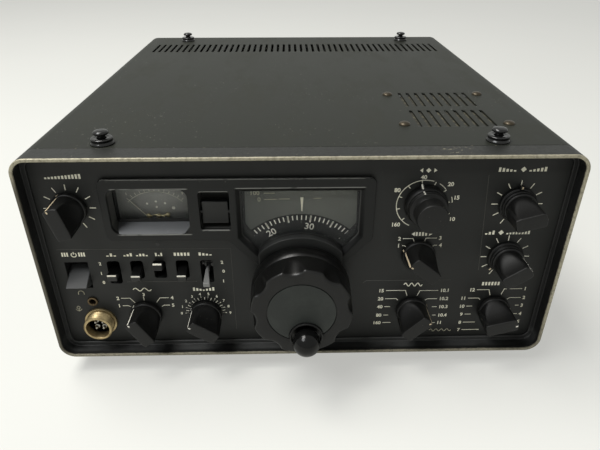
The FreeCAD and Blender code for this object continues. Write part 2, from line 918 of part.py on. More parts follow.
def outer_ring(control, angle):
    """The outer knob of a pair, with a small pointer lug and its hollow shaft."""
    x, z = control[0], control[1]
    back = panel_y - knob_panel_gap
    front = back - ring_height
    ring = turned([(0, front), (ring_top_radius - ring_edge, front), (ring_top_radius, front + ring_edge),
                   (ring_radius, back - ring_foot), (ring_radius, back), (0, back)], 0, 0)
    half = ring_lug_width / 2
    ring = ring.fuse(block(0, ring_radius + ring_lug, back - ring_lug_height, back, -half, half))
    ring = ring.cut(rod(0, 0, shaft_radius, front - over, back + over))
    bore = inner_shaft_radius + running_fit
    shaft = pipe(0, 0, shaft_radius, bore, front, bracket_back + shaft_length_in_body)
    pair = Part.makeCompound([ring, shaft])
    pair.translate(V(x, 0, z))
    return spin(pair, x, z, angle)


def inner_knob(control):
    """The front knob of a pair, on the thin shaft inside the hollow one."""
    x, z, angle = control
    back = panel_y - knob_panel_gap - ring_height - pair_gap
    front = panel_y - pair_height
    knob = bar_grip(inner_body_radius, inner_bar_width, front, back)
    knob = knob.cut(rod(0, 0, inner_shaft_radius, back - shaft_in_knob, back + over))
    end = bracket_back + shaft_length_in_body + pair_pot_length / 2
    shaft = rod(0, 0, inner_shaft_radius, back - shaft_in_knob, end)
    pair = Part.makeCompound([knob, shaft])
    pair.translate(V(x, 0, z))
    return spin(pair, x, z, angle)


def bushing(x, z, deep):
    """A threaded bushing with its nut on the bracket and a bore for the shaft."""
    tube = rod(x, z, bushing_radius, bracket_y - bushing_reach, bracket_back)
    nut = rod(x, z, nut_radius, bracket_y - nut_thickness, bracket_y)
    bore = rod(x, z, shaft_radius + running_fit, bracket_y - bushing_reach - over, bracket_back + deep)
    return tube.fuse(nut), bore


def potentiometers():
    solids = []
    for control in (vox_place, reject_place, preselector_place):
        x, z = control[0], control[1]
        tube, bore = bushing(x, z, shaft_length_in_body + over)
        solids.append(tube.fuse(rod(x, z, pot_radius, bracket_back, bracket_back + pot_length)).cut(bore))
    for control in (drive_place, af_place):
        x, z = control[0], control[1]
        tube, bore = bushing(x, z, shaft_length_in_body + over)
        body = tube.fuse(rod(x, z, pot_radius, bracket_back, bracket_back + pair_pot_length)).cut(bore)
        inner = rod(x, z, inner_shaft_radius + running_fit, bracket_back,
                    bracket_back + shaft_length_in_body + pair_pot_length / 2 + over)
        solids.append(body.cut(inner))
    return Part.makeCompound(solids)


def wafer_switches():
    """Four rotary switches: detent plate, tie rods and wafers each."""
    solids = []
    for control in (mode_place, select_place, band_place, channel_place):
        x, z = control[0], control[1]
        tube, bore = bushing(x, z, shaft_length_in_body + over)
        body = tube.fuse(rod(x, z, wafer_radius, bracket_back, bracket_back + detent_length))
        last = bracket_back + detent_length + wafer_count * wafer_pitch
        for side in (1, -1):
            body = body.fuse(rod(x + side * tie_rod_offset, z, tie_rod_radius, bracket_back, last))
        for k in range(wafer_count):
            y = last - k * wafer_pitch
            body = body.fuse(rod(x, z, wafer_radius, y - wafer_thickness, y))
        solids.append(body.cut(bore))
    return Part.makeCompound(solids)


def lever_pivot_y():
    return panel_y + lever_pivot_depth


def black_lever(x, z, turn):
    """A square-ended lever on a cross pin, turned about its pivot."""
    y = lever_pivot_y()
    half = lever_width / 2
    bar = block(x - half, x + half, panel_y - lever_reach, y, z - lever_height / 2, z + lever_height / 2)
    return hung_lever(bar, x, y, z, half, turn)


def bat_lever(x, z, turn):
    """A flat lever that widens towards its tip."""
    y = lever_pivot_y()
    tip_y = panel_y - bat_reach
    outline = [V(x - bat_tip / 2, tip_y, z), V(x + bat_tip / 2, tip_y, z),
               V(x + bat_root / 2, panel_y, z), V(x + bat_root / 2, y, z),
               V(x - bat_root / 2, y, z), V(x - bat_root / 2, panel_y, z)]
    blade = Part.Face(Part.makePolygon(outline + [outline[0]])).extrude(V(0, 0, bat_thickness))
    blade.translate(V(0, 0, -bat_thickness / 2))
    return hung_lever(blade, x, y, z, lever_width / 2, turn)


def hung_lever(arm, x, y, z, half, turn):
    arm = arm.fuse(pin(x - half, x + half, y, z, lever_pivot_radius))
    reach = lever_slot_width / 2 + lever_side_gap + lever_body_wall
    arm = arm.fuse(pin(x - reach, x + reach, y, z, lever_pin_radius))
    arm.rotate(V(x, y, z), V(-1, 0, 0), turn)
    return arm


def lever_switch_bodies():
    """A small open-fronted box for each lever, carrying its cross pin."""
    solids = []
    for name, x, z, length, turn in lever_rows:
        y = lever_pivot_y()
        inner = lever_slot_width / 2 + lever_side_gap
        outer = inner + lever_body_wall
        high = length / 2 + lever_body_room
        w = lever_body_wall
        box = block(x - outer, x + outer, panel_back, bracket_y, z - high - w, z + high + w)
        box = box.cut(block(x - inner, x + inner, panel_back - over, bracket_y - w, z - high, z + high))
        box = box.cut(pin(x - outer - over, x + outer + over, y, z, lever_pin_radius + running_fit))
        solids.append(box)
    return Part.makeCompound(solids)


def power_pivot_y():
    return panel_y + power_pivot_depth


def power_rocker():
    """A rocker whose flat face leans out at the bottom when it is off."""
    y, z = power_pivot_y(), power_z
    x0, x1 = power_x - power_width / 2, power_x + power_width / 2
    top = (y - power_top_reach, z + power_top_rise)
    bottom = (y - power_bottom_reach, z - power_bottom_drop)
    drum = pin(x0, x1, y, z, power_drum_radius)
    run, drop = bottom[0] - top[0], bottom[1] - top[1]
    far_top = (top[0] - run, top[1] - drop)
    far_bottom = (bottom[0] + run, bottom[1] + drop)
    away = power_drum_radius * 3
    cut = side_slab([far_top, far_bottom, (far_bottom[0] - away, far_bottom[1]),
                     (far_top[0] - away, far_top[1])], x0 - over, x1 + over)
    drum = drum.cut(cut)
    wedge = side_slab([top, bottom, (y, z - power_drum_radius)], x0, x1)
    body = drum.fuse(wedge)
    reach = power_width / 2 + power_side_gap + lever_body_wall
    return body.fuse(pin(power_x - reach, power_x + reach, y + power_pin_back, z, power_pin_radius))


def power_switch_body():
    """The housing behind the panel that the rocker's cross pin turns in."""
    y, z = power_pivot_y() + power_pin_back, power_z
    inner = power_width / 2 + power_side_gap
    outer = inner + lever_body_wall
    high = power_height / 2 + lever_body_wall
    box = block(power_x - outer, power_x + outer, panel_back, bracket_y, z - high, z + high)
    box = box.cut(block(power_x - inner, power_x + inner, panel_back - over, bracket_y - lever_body_wall,
                        z - power_height / 2, z + power_height / 2))
    reach = outer + over
    return box.cut(pin(power_x - reach, power_x + reach, y, z, power_pin_radius + running_fit))


def panel_bracket():
    """The steel sheet behind the panel, flanged forward to the panel's back."""
    low, high = deck_top, case_height - bracket_margin
    plate = block(-side_inner, side_inner, bracket_y, bracket_back, low, high)
    flange_x = half_width - rim_wall - lip_width - bracket_sheet * 2
    for side in (1, -1):
        x0, x1 = sorted((side * flange_x, side * (flange_x - bracket_sheet)))
        plate = plate.fuse(block(x0, x1, panel_back, bracket_y, low, high))
    for x, z, angle in single_controls:
        plate = plate.cut(rod(x, z, bushing_radius, bracket_y - over, bracket_back + over))
    bearing_front = bracket_y - bearing_reach
    plate = plate.fuse(rod(dial_x, dial_z, disc_hub_radius, bearing_front, bracket_back))
    bore = shaft_radius + running_fit
    plate = plate.cut(rod(dial_x, dial_z, bore, bearing_front - over, bracket_back + over))
    w = meter_case_wall + panel_fit
    return plate.cut(block(meter_left - w, meter_right + w, bracket_y - over, bracket_back + over,
                           meter_low - meter_case_drop - w, meter_top + w))


def chassis():
    """Two side plates and a deck between the bracket and the rear panel."""
    low, high = chassis_margin, case_height - chassis_margin
    front = frame_depth + tongue_length + panel_fit
    body = block(-side_inner, side_inner, bracket_y, rear_y, deck_z, deck_top)
    for side in (1, -1):
        x0, x1 = sorted((side * side_outer, side * side_inner))
        body = body.fuse(block(x0, x1, front, rear_y, low, high))
    return body.removeSplitter()


def cover_shell(z0, z1, y0, y1):
    shell = case_block(0, y0, y1).cut(case_block(cover_sheet, y0 - over, y1 + over))
    return shell.common(block(-half_width - over, half_width + over, y0, y1, z0, z1))


def slot_cutter(x, y0, y1):
    """A narrow slot with round ends through the top of the cover."""
    half = slot_width / 2
    z0, z1 = case_height - cover_sheet - over, case_height + over
    cutter = block(x - half, x + half, y0 + half, y1 - half, z0, z1)
    cutter = cutter.fuse(post(x, y0 + half, half, z0, z1))
    return cutter.fuse(post(x, y1 - half, half, z0, z1))


def fastener_places():
    rear = case_depth - fastener_rear_inset
    return [("front_left", -fastener_x, fastener_front_y), ("front_right", fastener_x, fastener_front_y),
            ("rear_left", -fastener_x, rear), ("rear_right", fastener_x, rear)]


def top_cover():
    cover = cover_shell(cover_split_z + seam_gap / 2, case_height + over, frame_depth, case_depth)
    cutters = []
    vent_back = case_depth - vent_from_rear
    for k in range(vent_count):
        x = (k - (vent_count - 1) / 2) * vent_pitch
        cutters.append(slot_cutter(x, vent_back - vent_length, vent_back))
    for k in range(slot_count):
        x = speaker_x + (k - (slot_count - 1) / 2) * slot_pitch
        near = speaker_y - slot_row_gap / 2
        far = speaker_y + slot_row_gap / 2
        cutters.append(slot_cutter(x, near - slot_length, near))
        cutters.append(slot_cutter(x, far, far + slot_length))
    for name, x, y in fastener_places():
        cutters.append(post(x, y, grommet_neck, case_height - cover_sheet - over, case_height + over))
    for x, y in speaker_screw_places():
        cutters.append(post(x, y, screw_shank_radius, case_height - cover_sheet - over,
                            case_height + over))
    return cover.cut(Part.makeCompound(cutters))


def bottom_cover():
    cover = cover_shell(-over, cover_split_z - seam_gap / 2, frame_depth, case_depth)
    for x, y in foot_places():
        cover = cover.cut(post(x, y, screw_shank_radius, -over, cover_sheet + over))
    return cover


def speaker_screw_places():
    half = speaker_screw_pitch / 2
    return [(speaker_x + i * half, speaker_y + j * half) for i in (-1, 1) for j in (-1, 1)]


def foot_places():
    rear = case_depth - foot_rear_inset
    return [(i * foot_x, y) for i in (-1, 1) for y in (foot_front_y, rear)]


def rubber_feet():
    feet = []
    for x, y in foot_places():
        foot = turned_up([(0, -foot_height), (foot_radius - foot_edge, -foot_height),
                          (foot_radius, foot_edge - foot_height),
                          (foot_top_radius, 0), (0, 0)], x, y)
        foot = foot.cut(post(x, y, foot_recess_radius, -foot_height - over, foot_recess_depth - foot_height))
        feet.append(foot.cut(post(x, y, screw_shank_radius, -foot_height, over)))
    return Part.makeCompound(feet)


def domed_head(radius, height):
    """A low dome on z = 0, as the part of a ball above a plane."""
    ball_radius = (radius * radius + height * height) / (2 * height)
    ball = Part.makeSphere(ball_radius, V(0, 0, height - ball_radius))
    dome = ball.cut(Part.makeBox(ball_radius * 4, ball_radius * 4, ball_radius * 4,
                                 V(-ball_radius * 2, -ball_radius * 2, -ball_radius * 4)))
    return dome


def screw_at(x, y, z, direction, shank):
    """A domed screw whose head sits on a face; direction is the way out."""
    screw = domed_head(screw_head_radius, screw_head_height)
    screw = screw.fuse(Part.makeCylinder(screw_shank_radius, shank, V(0, 0, -shank), V(0, 0, 1)))
    turn = FreeCAD.Rotation(V(0, 0, 1), direction)
    screw.Placement = FreeCAD.Placement(V(x, y, z), turn)
    return screw


def side_screw_places():
    rear = case_depth - side_screw_inset
    rows = (cover_split_z + side_screw_z_offset, cover_split_z - side_screw_z_offset)
    return [(y, z) for y in (side_screw_inset, rear) for z in rows]


def rear_screw_places():
    x = side_inner - rear_screw_inset
    rows = (deck_top + rear_screw_margin, case_height - chassis_margin - rear_screw_margin)
    return [(i * x, z) for i in (-1, 1) for z in rows]


def case_screws():
    """Speaker screws, side screws, foot screws and rear screws."""
    screws = []
    depth = cover_sheet + speaker_flange
    for x, y in speaker_screw_places():
        screws.append(screw_at(x, y, case_height, V(0, 0, 1), depth + over))
    for x, y in foot_places():
        screws.append(screw_at(x, y, foot_recess_depth - foot_height, V(0, 0, -1),
                               foot_height - foot_recess_depth + cover_sheet))
    for y, z in side_screw_places():
        for side in (1, -1):
            screws.append(screw_at(side * half_width, y, z, V(side, 0, 0), cover_sheet + chassis_sheet))
    for x, z in rear_screw_places():
        screws.append(screw_at(x, rear_face, z, V(0, 1, 0), chassis_sheet))
    return Part.makeCompound(screws)


def with_side_screw_holes(shape):
    for y, z in side_screw_places():
        shape = shape.cut(pin(-half_width - over, half_width + over, y, z, screw_shank_radius))
    return shape


def cover_grommets():
    """The four flanged sleeves of the pull fasteners."""
    solids = []
    for name, x, y in fastener_places():
        top = case_height + grommet_height
        sleeve = turned_up([(0, case_height), (grommet_foot_radius, case_height),
                            (grommet_radius, case_height + grommet_height * 0.4),
                            (grommet_radius, case_height + grommet_height * 0.6),
                            (plunger_head_radius, top), (0, top)], x, y)
        sleeve = sleeve.fuse(post(x, y, grommet_neck, case_height - cover_sheet - grommet_below, case_height))
        bore = plunger_neck_radius + plunger_gap
        low = case_height - cover_sheet - grommet_below
        solids.append(sleeve.cut(post(x, y, bore, low - over, top + over)))
    return Part.makeCompound(solids)


def plunger(x, y):
    """The headed pin inside a pull fastener."""
    seat = case_height + grommet_height + plunger_gap
    neck_top = seat + plunger_neck_height
    return turned_up([(0, case_height - cover_sheet - grommet_below),
                      (plunger_neck_radius, case_height - cover_sheet - grommet_below),
                      (plunger_neck_radius, neck_top),
                      (plunger_head_radius, neck_top + plunger_head_height * 0.3),
                      (plunger_head_radius, neck_top + plunger_head_height * 0.75),
                      (plunger_head_radius * 0.75, neck_top + plunger_head_height),
                      (0, neck_top + plunger_head_height)], x, y)


def speaker_frame():
    """Flange, tapered basket and magnet of the loudspeaker."""
    top = case_height - cover_sheet
    half = speaker_screw_pitch / 2 + speaker_flange_margin
    flange = block(speaker_x - half, speaker_x + half, speaker_y - half, speaker_y + half,
                   top - speaker_flange, top)
    bottom = top - speaker_depth
    basket = Part.makeCone(speaker_throat_radius, speaker_radius, speaker_depth - speaker_flange,
                           V(speaker_x, speaker_y, bottom))
    body = flange.fuse(basket)
    hollow = Part.makeCone(speaker_throat_radius - basket_wall, speaker_radius - basket_wall,
                           speaker_depth - speaker_flange, V(speaker_x, speaker_y, bottom + basket_wall))
    mouth = post(speaker_x, speaker_y, speaker_radius - basket_wall, top - speaker_flange * 2, top + over)
    body = body.cut(hollow).cut(mouth)
    magnet_end = bottom - speaker_magnet_length
    body = body.fuse(post(speaker_x, speaker_y, speaker_magnet_radius, magnet_end, bottom))
    for x, y in speaker_screw_places():
        body = body.cut(post(x, y, screw_shank_radius, top - speaker_flange - over, top + over))
    return body


def speaker_cone():
    """A thin paper cone with its dust cap, lying in the basket."""
    rim_z = case_height - cover_sheet - speaker_flange
    low_z = case_height - cover_sheet - speaker_depth + cone_rise
    cap_z = low_z + cone_cap_height
    crown_z = low_z + cone_cap_crown
    t = cone_thickness
    rim = speaker_radius - basket_wall * 2
    return turned_up([(0, crown_z), (cone_cap_radius, cap_z), (cone_neck_radius, low_z),
                      (rim - cone_lip, rim_z - t), (rim, rim_z - t), (rim, rim_z),
                      (rim - cone_lip - t / 2, rim_z),
                      (cone_neck_radius, low_z + t * 1.6), (cone_cap_radius, cap_z + t * 1.4),
                      (0, crown_z + t * 1.4)], speaker_x, speaker_y)


def phones_jack():
    body = rod(phones_x, phones_z, phones_nut_radius, panel_y - phones_nut_height, panel_y)
    body = body.fuse(rod(phones_x, phones_z, phones_thread_radius, panel_y, panel_back))
    half = phones_body_half
    body = body.fuse(block(phones_x - half, phones_x + half, panel_back, panel_back + phones_body_length,
                           phones_z - half, phones_z + half))
    return body.cut(rod(phones_x, phones_z, phones_bore, panel_y - phones_nut_height - over,
                        panel_back + phones_body_length - over))


def mic_socket():
    """The threaded shell of the microphone socket with its flange."""
    shell = rod(mic_x, mic_z, mic_radius, panel_y - mic_reach, panel_back + mic_body_length)
    shell = shell.fuse(rod(mic_x, mic_z, mic_flange_radius, panel_y - mic_flange, panel_y))
    end = panel_back + mic_body_length + over
    return shell.cut(rod(mic_x, mic_z, mic_bore, panel_y - mic_reach - over, end))


def mic_insert():
    """The insulator with its pins."""
    face = panel_y - mic_reach + mic_insert_depth
    body = rod(mic_x, mic_z, mic_bore, face, panel_back + mic_body_length)
    for k in range(mic_pin_count):
        angle = 2 * math.pi * k / mic_pin_count
        x = mic_x + mic_pin_circle * math.cos(angle)
        z = mic_z + mic_pin_circle * math.sin(angle)
        body = body.fuse(rod(x, z, mic_pin_radius, face - mic_pin_height, face + over))
    return body


def plug_in_boards():
    boards = []
    back = rear_y - board_rear_gap
    for k in range(board_count):
        x = board_first_x + k * board_pitch
        board = block(x, x + board_thickness, back - board_length, back,
                      deck_top, deck_top + board_height)
        side = board_socket_side
        socket = block(x - side, x + board_thickness + side, back - board_length + board_socket_end,
                       back - board_socket_end, deck_top, deck_top + board_socket_height)
        boards.append(board.fuse(socket))
    return Part.makeCompound(boards)


def rear_panel():
    inset = cover_sheet + panel_fit
    plate = case_block(inset, rear_y, rear_face)
    for x, z in rear_screw_places():
        plate = plate.cut(rod(x, z, screw_shank_radius, rear_y - over, rear_face + over))
    return plate


def heat_sink():
    """A finned extrusion across the middle of the rear panel."""
    base = block(-sink_half_width, sink_half_width, rear_face, rear_face + sink_base, sink_low, sink_high)
    pitch = (sink_half_width * 2 - sink_fin_thickness) / (sink_fin_count - 1)
    for k in range(sink_fin_count):
        x = -sink_half_width + k * pitch
        base = base.fuse(block(x, x + sink_fin_thickness, rear_face + sink_base, sink_back,
                               sink_low, sink_high))
    return base.removeSplitter()


def antenna_socket():
    """A square flange with a threaded barrel and a hollow centre contact."""
    y = rear_face + antenna_flange
    half = antenna_flange_half
    body = block(antenna_x - half, antenna_x + half, rear_face, y, antenna_z - half, antenna_z + half)
    body = body.fuse(rod(antenna_x, antenna_z, antenna_radius, y, antenna_back))
    body = body.cut(pipe(antenna_x, antenna_z, antenna_cavity_radius, antenna_contact_radius,
                         antenna_back - antenna_cavity_depth, antenna_back + over))
    return body.cut(rod(antenna_x, antenna_z, antenna_bore, antenna_back - antenna_cavity_depth,
                        antenna_back + over))


def phono_sockets():
    solids = []
    for i in range(phono_columns):
        for j in range(phono_rows):
            x = phono_x + i * phono_pitch
            z = phono_z + j * phono_pitch
            y = rear_face + phono_base
            body = rod(x, z, phono_base_radius, rear_face, y)
            body = body.fuse(rod(x, z, phono_radius, y, y + phono_length))
            solids.append(body.cut(rod(x, z, phono_bore, y, y + phono_length + over)))
    return Part.makeCompound(solids)


def power_inlet():
    """A rectangular shell with two rows of pins for the supply lead."""
    half_w, half_h = inlet_width / 2, inlet_height / 2
    w = inlet_wall
    back = rear_face + inlet_reach
    shell = block(inlet_x - half_w, inlet_x + half_w, rear_face, back, inlet_z - half_h, inlet_z + half_h)
    floor_y = back - inlet_depth
    shell = shell.cut(block(inlet_x - half_w + w, inlet_x + half_w - w, floor_y, back + over,
                            inlet_z - half_h + w, inlet_z + half_h - w))
    for k in range(inlet_pin_count):
        x = inlet_x + (k - (inlet_pin_count - 1) / 2) * inlet_pin_pitch
        for side in (1, -1):
            z = inlet_z + side * inlet_pin_rise
            shell = shell.fuse(rod(x, z, inlet_pin_radius, floor_y - over, back - inlet_pin_inset))
    return shell


def ground_terminal():
    stud = rod(stud_x, stud_z, stud_radius, rear_face, stud_back)
    return stud.fuse(rod(stud_x, stud_z, stud_nut_radius, rear_face, rear_face + stud_nut_length))


save("front_frame", front_frame())
save("front_panel", front_panel())
save("dial_escutcheon", dial_escutcheon())
save("window_panes", window_panes())
save("dial_mask", dial_mask())
save("dial_disc", dial_disc())
save("meter_case", meter_case())
save("meter_scale", meter_scale())
save("meter_needle", meter_needle())
save("meter_rocker", meter_rocker())
save("panel_bracket", panel_bracket())
save("chassis", with_side_screw_holes(chassis()))
save("top_cover", with_side_screw_holes(top_cover()))
save("bottom_cover", with_side_screw_holes(bottom_cover()))
save("rear_panel", rear_panel())
save("heat_sink", heat_sink())
save("rubber_feet", rubber_feet())
save("case_screws", case_screws())
save("cover_grommets", cover_grommets())
for spot, spot_x, spot_y in fastener_places():
    save("plunger_" + spot, plunger(spot_x, spot_y))
save("speaker_frame", speaker_frame())
save("speaker_cone", speaker_cone())
save("tuning_knob", tuning_knob())
save("knob_inlay", knob_inlay())
save("spinner_knob", spinner_knob())
save("tuning_shaft", tuning_shaft())
save("vfo_gear", vfo_gear())
save("vfo_box", vfo_box())
save("plug_in_boards", plug_in_boards())
save("potentiometers", potentiometers())
save("wafer_switches", wafer_switches())
save("lever_switch_bodies", lever_switch_bodies())
save("power_switch_body", power_switch_body())
save("power_rocker", power_rocker())
save("phones_jack", phones_jack())
save("mic_socket", mic_socket())
save("mic_insert", mic_insert())
save("vox_knob", single_knob(vox_place))
save("mode_knob", single_knob(mode_place))
save("reject_knob", single_knob(reject_place))
save("preselector_knob", preselector_knob())
save("select_knob", single_knob(select_place))
save("clarifier_ring", outer_ring(drive_place, clarifier_angle))
save("drive_knob", inner_knob(drive_place))
save("rf_ring", outer_ring(af_place, rf_angle))
save("af_knob", inner_knob(af_place))
save("band_knob", single_knob(band_place))
save("channel_knob", single_knob(channel_place))
for lever_name, lever_x, lever_z, pocket_length, rest_turn in lever_rows:
    maker = bat_lever if lever_name == "clarifier_lever" else black_lever
    save(lever_name, maker(lever_x, lever_z, rest_turn))
save("antenna_socket", antenna_socket())
save("phono_sockets", phono_sockets())
save("power_inlet", power_inlet())
save("ground_terminal", ground_terminal())
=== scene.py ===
# %% [markdown]
# # HF transceiver, dressed on its CAD frame
# A compact desktop set: a bent-sheet case with a deep front rim, a dial under a
# large scalloped knob, a signal meter, knobs, levers and rear sockets.
# The CAD nodes keep their places.  Where a node's shape needs rounder edges or
# finer detail, a new piece replaces it and rides on the same body.

# %% Load the frame
import math
import bmesh
import bpy
from mathutils import Matrix, Vector


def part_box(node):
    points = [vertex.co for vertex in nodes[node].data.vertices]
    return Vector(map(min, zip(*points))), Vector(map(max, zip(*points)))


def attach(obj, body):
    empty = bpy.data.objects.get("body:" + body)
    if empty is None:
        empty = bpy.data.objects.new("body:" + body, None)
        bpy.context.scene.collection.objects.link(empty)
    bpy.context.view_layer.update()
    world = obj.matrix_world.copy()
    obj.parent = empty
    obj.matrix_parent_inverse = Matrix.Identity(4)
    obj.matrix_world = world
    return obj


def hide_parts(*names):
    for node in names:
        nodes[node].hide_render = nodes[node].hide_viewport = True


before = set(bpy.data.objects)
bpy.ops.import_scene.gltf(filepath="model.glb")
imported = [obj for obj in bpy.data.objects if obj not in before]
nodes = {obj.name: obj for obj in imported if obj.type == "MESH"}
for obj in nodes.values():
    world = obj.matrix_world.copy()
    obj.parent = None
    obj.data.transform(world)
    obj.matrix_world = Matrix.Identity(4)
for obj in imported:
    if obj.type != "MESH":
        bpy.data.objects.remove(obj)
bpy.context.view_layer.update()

# %% [markdown]
# ## Places
# Sizes are written in millimetres from the front edge of the rim, the underside
# of the case and the middle of the case, as the source's own values are.  The
# box of the front frame gives how far all is moved from the shared origin.

# %% Names for the planes and places
MM = 0.001
FOOT = 12.0
SHIFT_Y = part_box("front_frame")[0].y / MM
PANEL = 9.0
DISC_FRONT = 12.0
MASK_FRONT = 11.5
METER_FACE = 21.8
CASE_TOP = 124.0
REAR = 297.5
DIAL_X, DIAL_Z = -0.8, 46.5
METER_X, NEEDLE_Z = -78.55, 75.8


def at(x, y, z):
    """A place in metres in the shared frame, from millimetres."""
    return Vector((x * MM, (y + SHIFT_Y) * MM, (z + FOOT) * MM))


def polar(x, z, radius, angle):
    """The (x, z) place at a radius and an angle in degrees, as seen from the front."""
    turn = math.radians(angle)
    return x + radius * math.cos(turn), z + radius * math.sin(turn)


print("front edge of the rim at y =", round(SHIFT_Y, 3), "mm")

# %% [markdown]
# ## Node trees
# Materials and Geometry Nodes are written as Python expressions.  A Value
# stands for one number in a tree, and arithmetic on it adds Math nodes.  A
# Network adds every other node through one method, and so does each of the two
# kinds of tree that build on it.

# %% Values with operators
class Value:
    """One number in a node tree."""
    def __init__(self, network, socket):
        self.network, self.socket = network, socket

    def ramp(self, start, end):
        """A smooth step from 0 to 1 between two values of this one."""
        made = self.network.node("ShaderNodeMapRange", {"Value": self, "From Min": start, "From Max": end},
                                 interpolation_type="SMOOTHSTEP")
        return Value(self.network, made.outputs["Result"])


def operator(operation, swapped=False):
    """A method that adds one Math node, with the value itself first or last."""
    def method(self, *others):
        return self.network.math(operation, *((*others, self) if swapped else (self, *others)))
    return method


for name, operation in {"add": "ADD", "sub": "SUBTRACT", "mul": "MULTIPLY", "truediv": "DIVIDE"}.items():
    setattr(Value, f"__{name}__", operator(operation))
    setattr(Value, f"__r{name}__", operator(operation, swapped=True))
for name, operation in {"__pow__": "POWER", "__abs__": "ABSOLUTE", "high": "MAXIMUM", "sine": "SINE"}.items():
    setattr(Value, name, operator(operation))
Value.__neg__ = lambda self: self * -1.0
print("a Value answers to:", ", ".join(key for key in vars(Value) if callable(vars(Value)[key])))

# %% Networks
class Network:
    """A node tree that starts empty."""
    def __init__(self, tree):
        self.tree = tree
        tree.nodes.clear()

    def node(self, kind, inputs=None, **settings):
        made = self.tree.nodes.new(kind)
        for key, value in settings.items():
            setattr(made, key, value)
        for key, value in (inputs or {}).items():
            self.feed(made.inputs[key], value)
        return made

    def feed(self, socket, value):
        """Link a socket to a value, or set what it holds; a colour may leave out its alpha."""
        if isinstance(value, Value):
            value = value.socket
        if isinstance(value, bpy.types.NodeSocket):
            self.tree.links.new(value, socket)
        elif socket.type == "RGBA":
            socket.default_value = (*value[:3], 1.0)
        else:
            socket.default_value = value

    def math(self, operation, *values):
        made = self.node("ShaderNodeMath", operation=operation)
        for socket, value in zip(made.inputs, values):
            self.feed(socket, value)
        return Value(self, made.outputs[0])


print("a Network offers:", ", ".join(key for key in vars(Network) if callable(vars(Network)[key])))

# %% Materials
class Graph(Network):
    """A material's shader tree, ending in one Principled shader."""
    def __init__(self, name):
        self.material = bpy.data.materials.new(name)
        self.material.use_nodes = True
        super().__init__(self.material.node_tree)
        self.shader = self.node("ShaderNodeBsdfPrincipled")
        self.output = self.node("ShaderNodeOutputMaterial", {"Surface": self.shader.outputs[0]})
        self.where = self.node("ShaderNodeTexCoord").outputs["Object"]

    def place(self, origin):
        """The three object coordinates, in millimetres from an origin in metres."""
        moved = self.node("ShaderNodeVectorMath", {0: self.where, 1: tuple(origin)}, operation="SUBTRACT")
        scaled = self.node("ShaderNodeVectorMath", {0: moved.outputs[0], "Scale": 1 / MM}, operation="SCALE")
        parts = self.node("ShaderNodeSeparateXYZ", {0: scaled.outputs[0]})
        return [Value(self, parts.outputs[i]) for i in range(3)]

    def noise(self, size, detail=3.0, rough=0.5, stretch=(1.0, 1.0, 1.0)):
        """Noise whose lumps are about size millimetres."""
        mapped = self.node("ShaderNodeMapping", {"Vector": self.where, "Scale": stretch})
        made = self.node("ShaderNodeTexNoise", {"Vector": mapped.outputs[0], "Scale": 1 / (size * MM),
                                                "Detail": detail, "Roughness": rough})
        return Value(self, made.outputs["Fac"])

    def cell_edges(self, size):
        """Distance to the edges of cells of about size millimetres."""
        made = self.node("ShaderNodeTexVoronoi", {"Vector": self.where, "Scale": 1 / (size * MM)},
                         feature="DISTANCE_TO_EDGE")
        return Value(self, made.outputs["Distance"])

    def mix(self, share, first, second):
        """A colour between two colours."""
        made = self.node("ShaderNodeMix", data_type="RGBA")
        for index, value in ((0, share), (6, first), (7, second)):
            self.feed(made.inputs[index], value)
        return made.outputs[2]

    def finish(self, color, roughness, metallic=None, height=None, bump=0.2, step=0.0002, **fixed):
        """Connect what varies, and set what is the same all over on the shader itself."""
        varied = {"Base Color": color, "Roughness": roughness, "Metallic": metallic}
        if height is not None:
            made = self.node("ShaderNodeBump", {"Height": height, "Strength": bump, "Distance": step})
            varied["Normal"] = made.outputs[0]
        varied |= {key.replace("_", " "): value for key, value in fixed.items()}
        for key, value in varied.items():
            if value is not None:
                self.feed(self.shader.inputs[key], value)
        return self.material

# %% [markdown]
# ## Paints and metals of the case
# The cover has dark olive-grey paint with a fine orange-peel skin, faint smears
# and specks of dust.  The front rim is the same cast metal all over, black on
# its outside, and rubbed bare along its front edge, with noisy grime, darker
# towards the left and the bottom, and a painted highlight on its lower inner
# ledge.  Each mask is a place and some noise, so its border is ragged.

# %% Paint of the covers
def cover_paint():
    g = Graph("cover_paint")
    y = g.place(at(0, 0, 0))[1]
    cloud = g.noise(60, 4)
    smear = g.noise(22, 5, 0.6, (1.0, 0.35, 1.0)).ramp(0.45, 0.75)
    specks = g.noise(1.3, 1).ramp(0.735, 0.775) * g.noise(40, 2).ramp(0.42, 0.62)
    chips = (g.noise(2.2, 3) - (y - 14.0) * 0.05).ramp(0.66, 0.70)
    tone = g.mix(cloud, (0.0100, 0.0112, 0.0084), (0.0150, 0.0162, 0.0126))
    tone = g.mix(smear * 0.35, tone, (0.032, 0.033, 0.026))
    tone = g.mix(specks * 0.75, tone, (0.20, 0.20, 0.17))
    tone = g.mix(chips * 0.6, tone, (0.16, 0.15, 0.11))
    rough = 0.46 + smear * 0.10 + cloud * 0.06
    return g.finish(tone, rough, None, g.noise(0.9, 2), 0.10, 0.0002, Specular_IOR_Level=0.15)


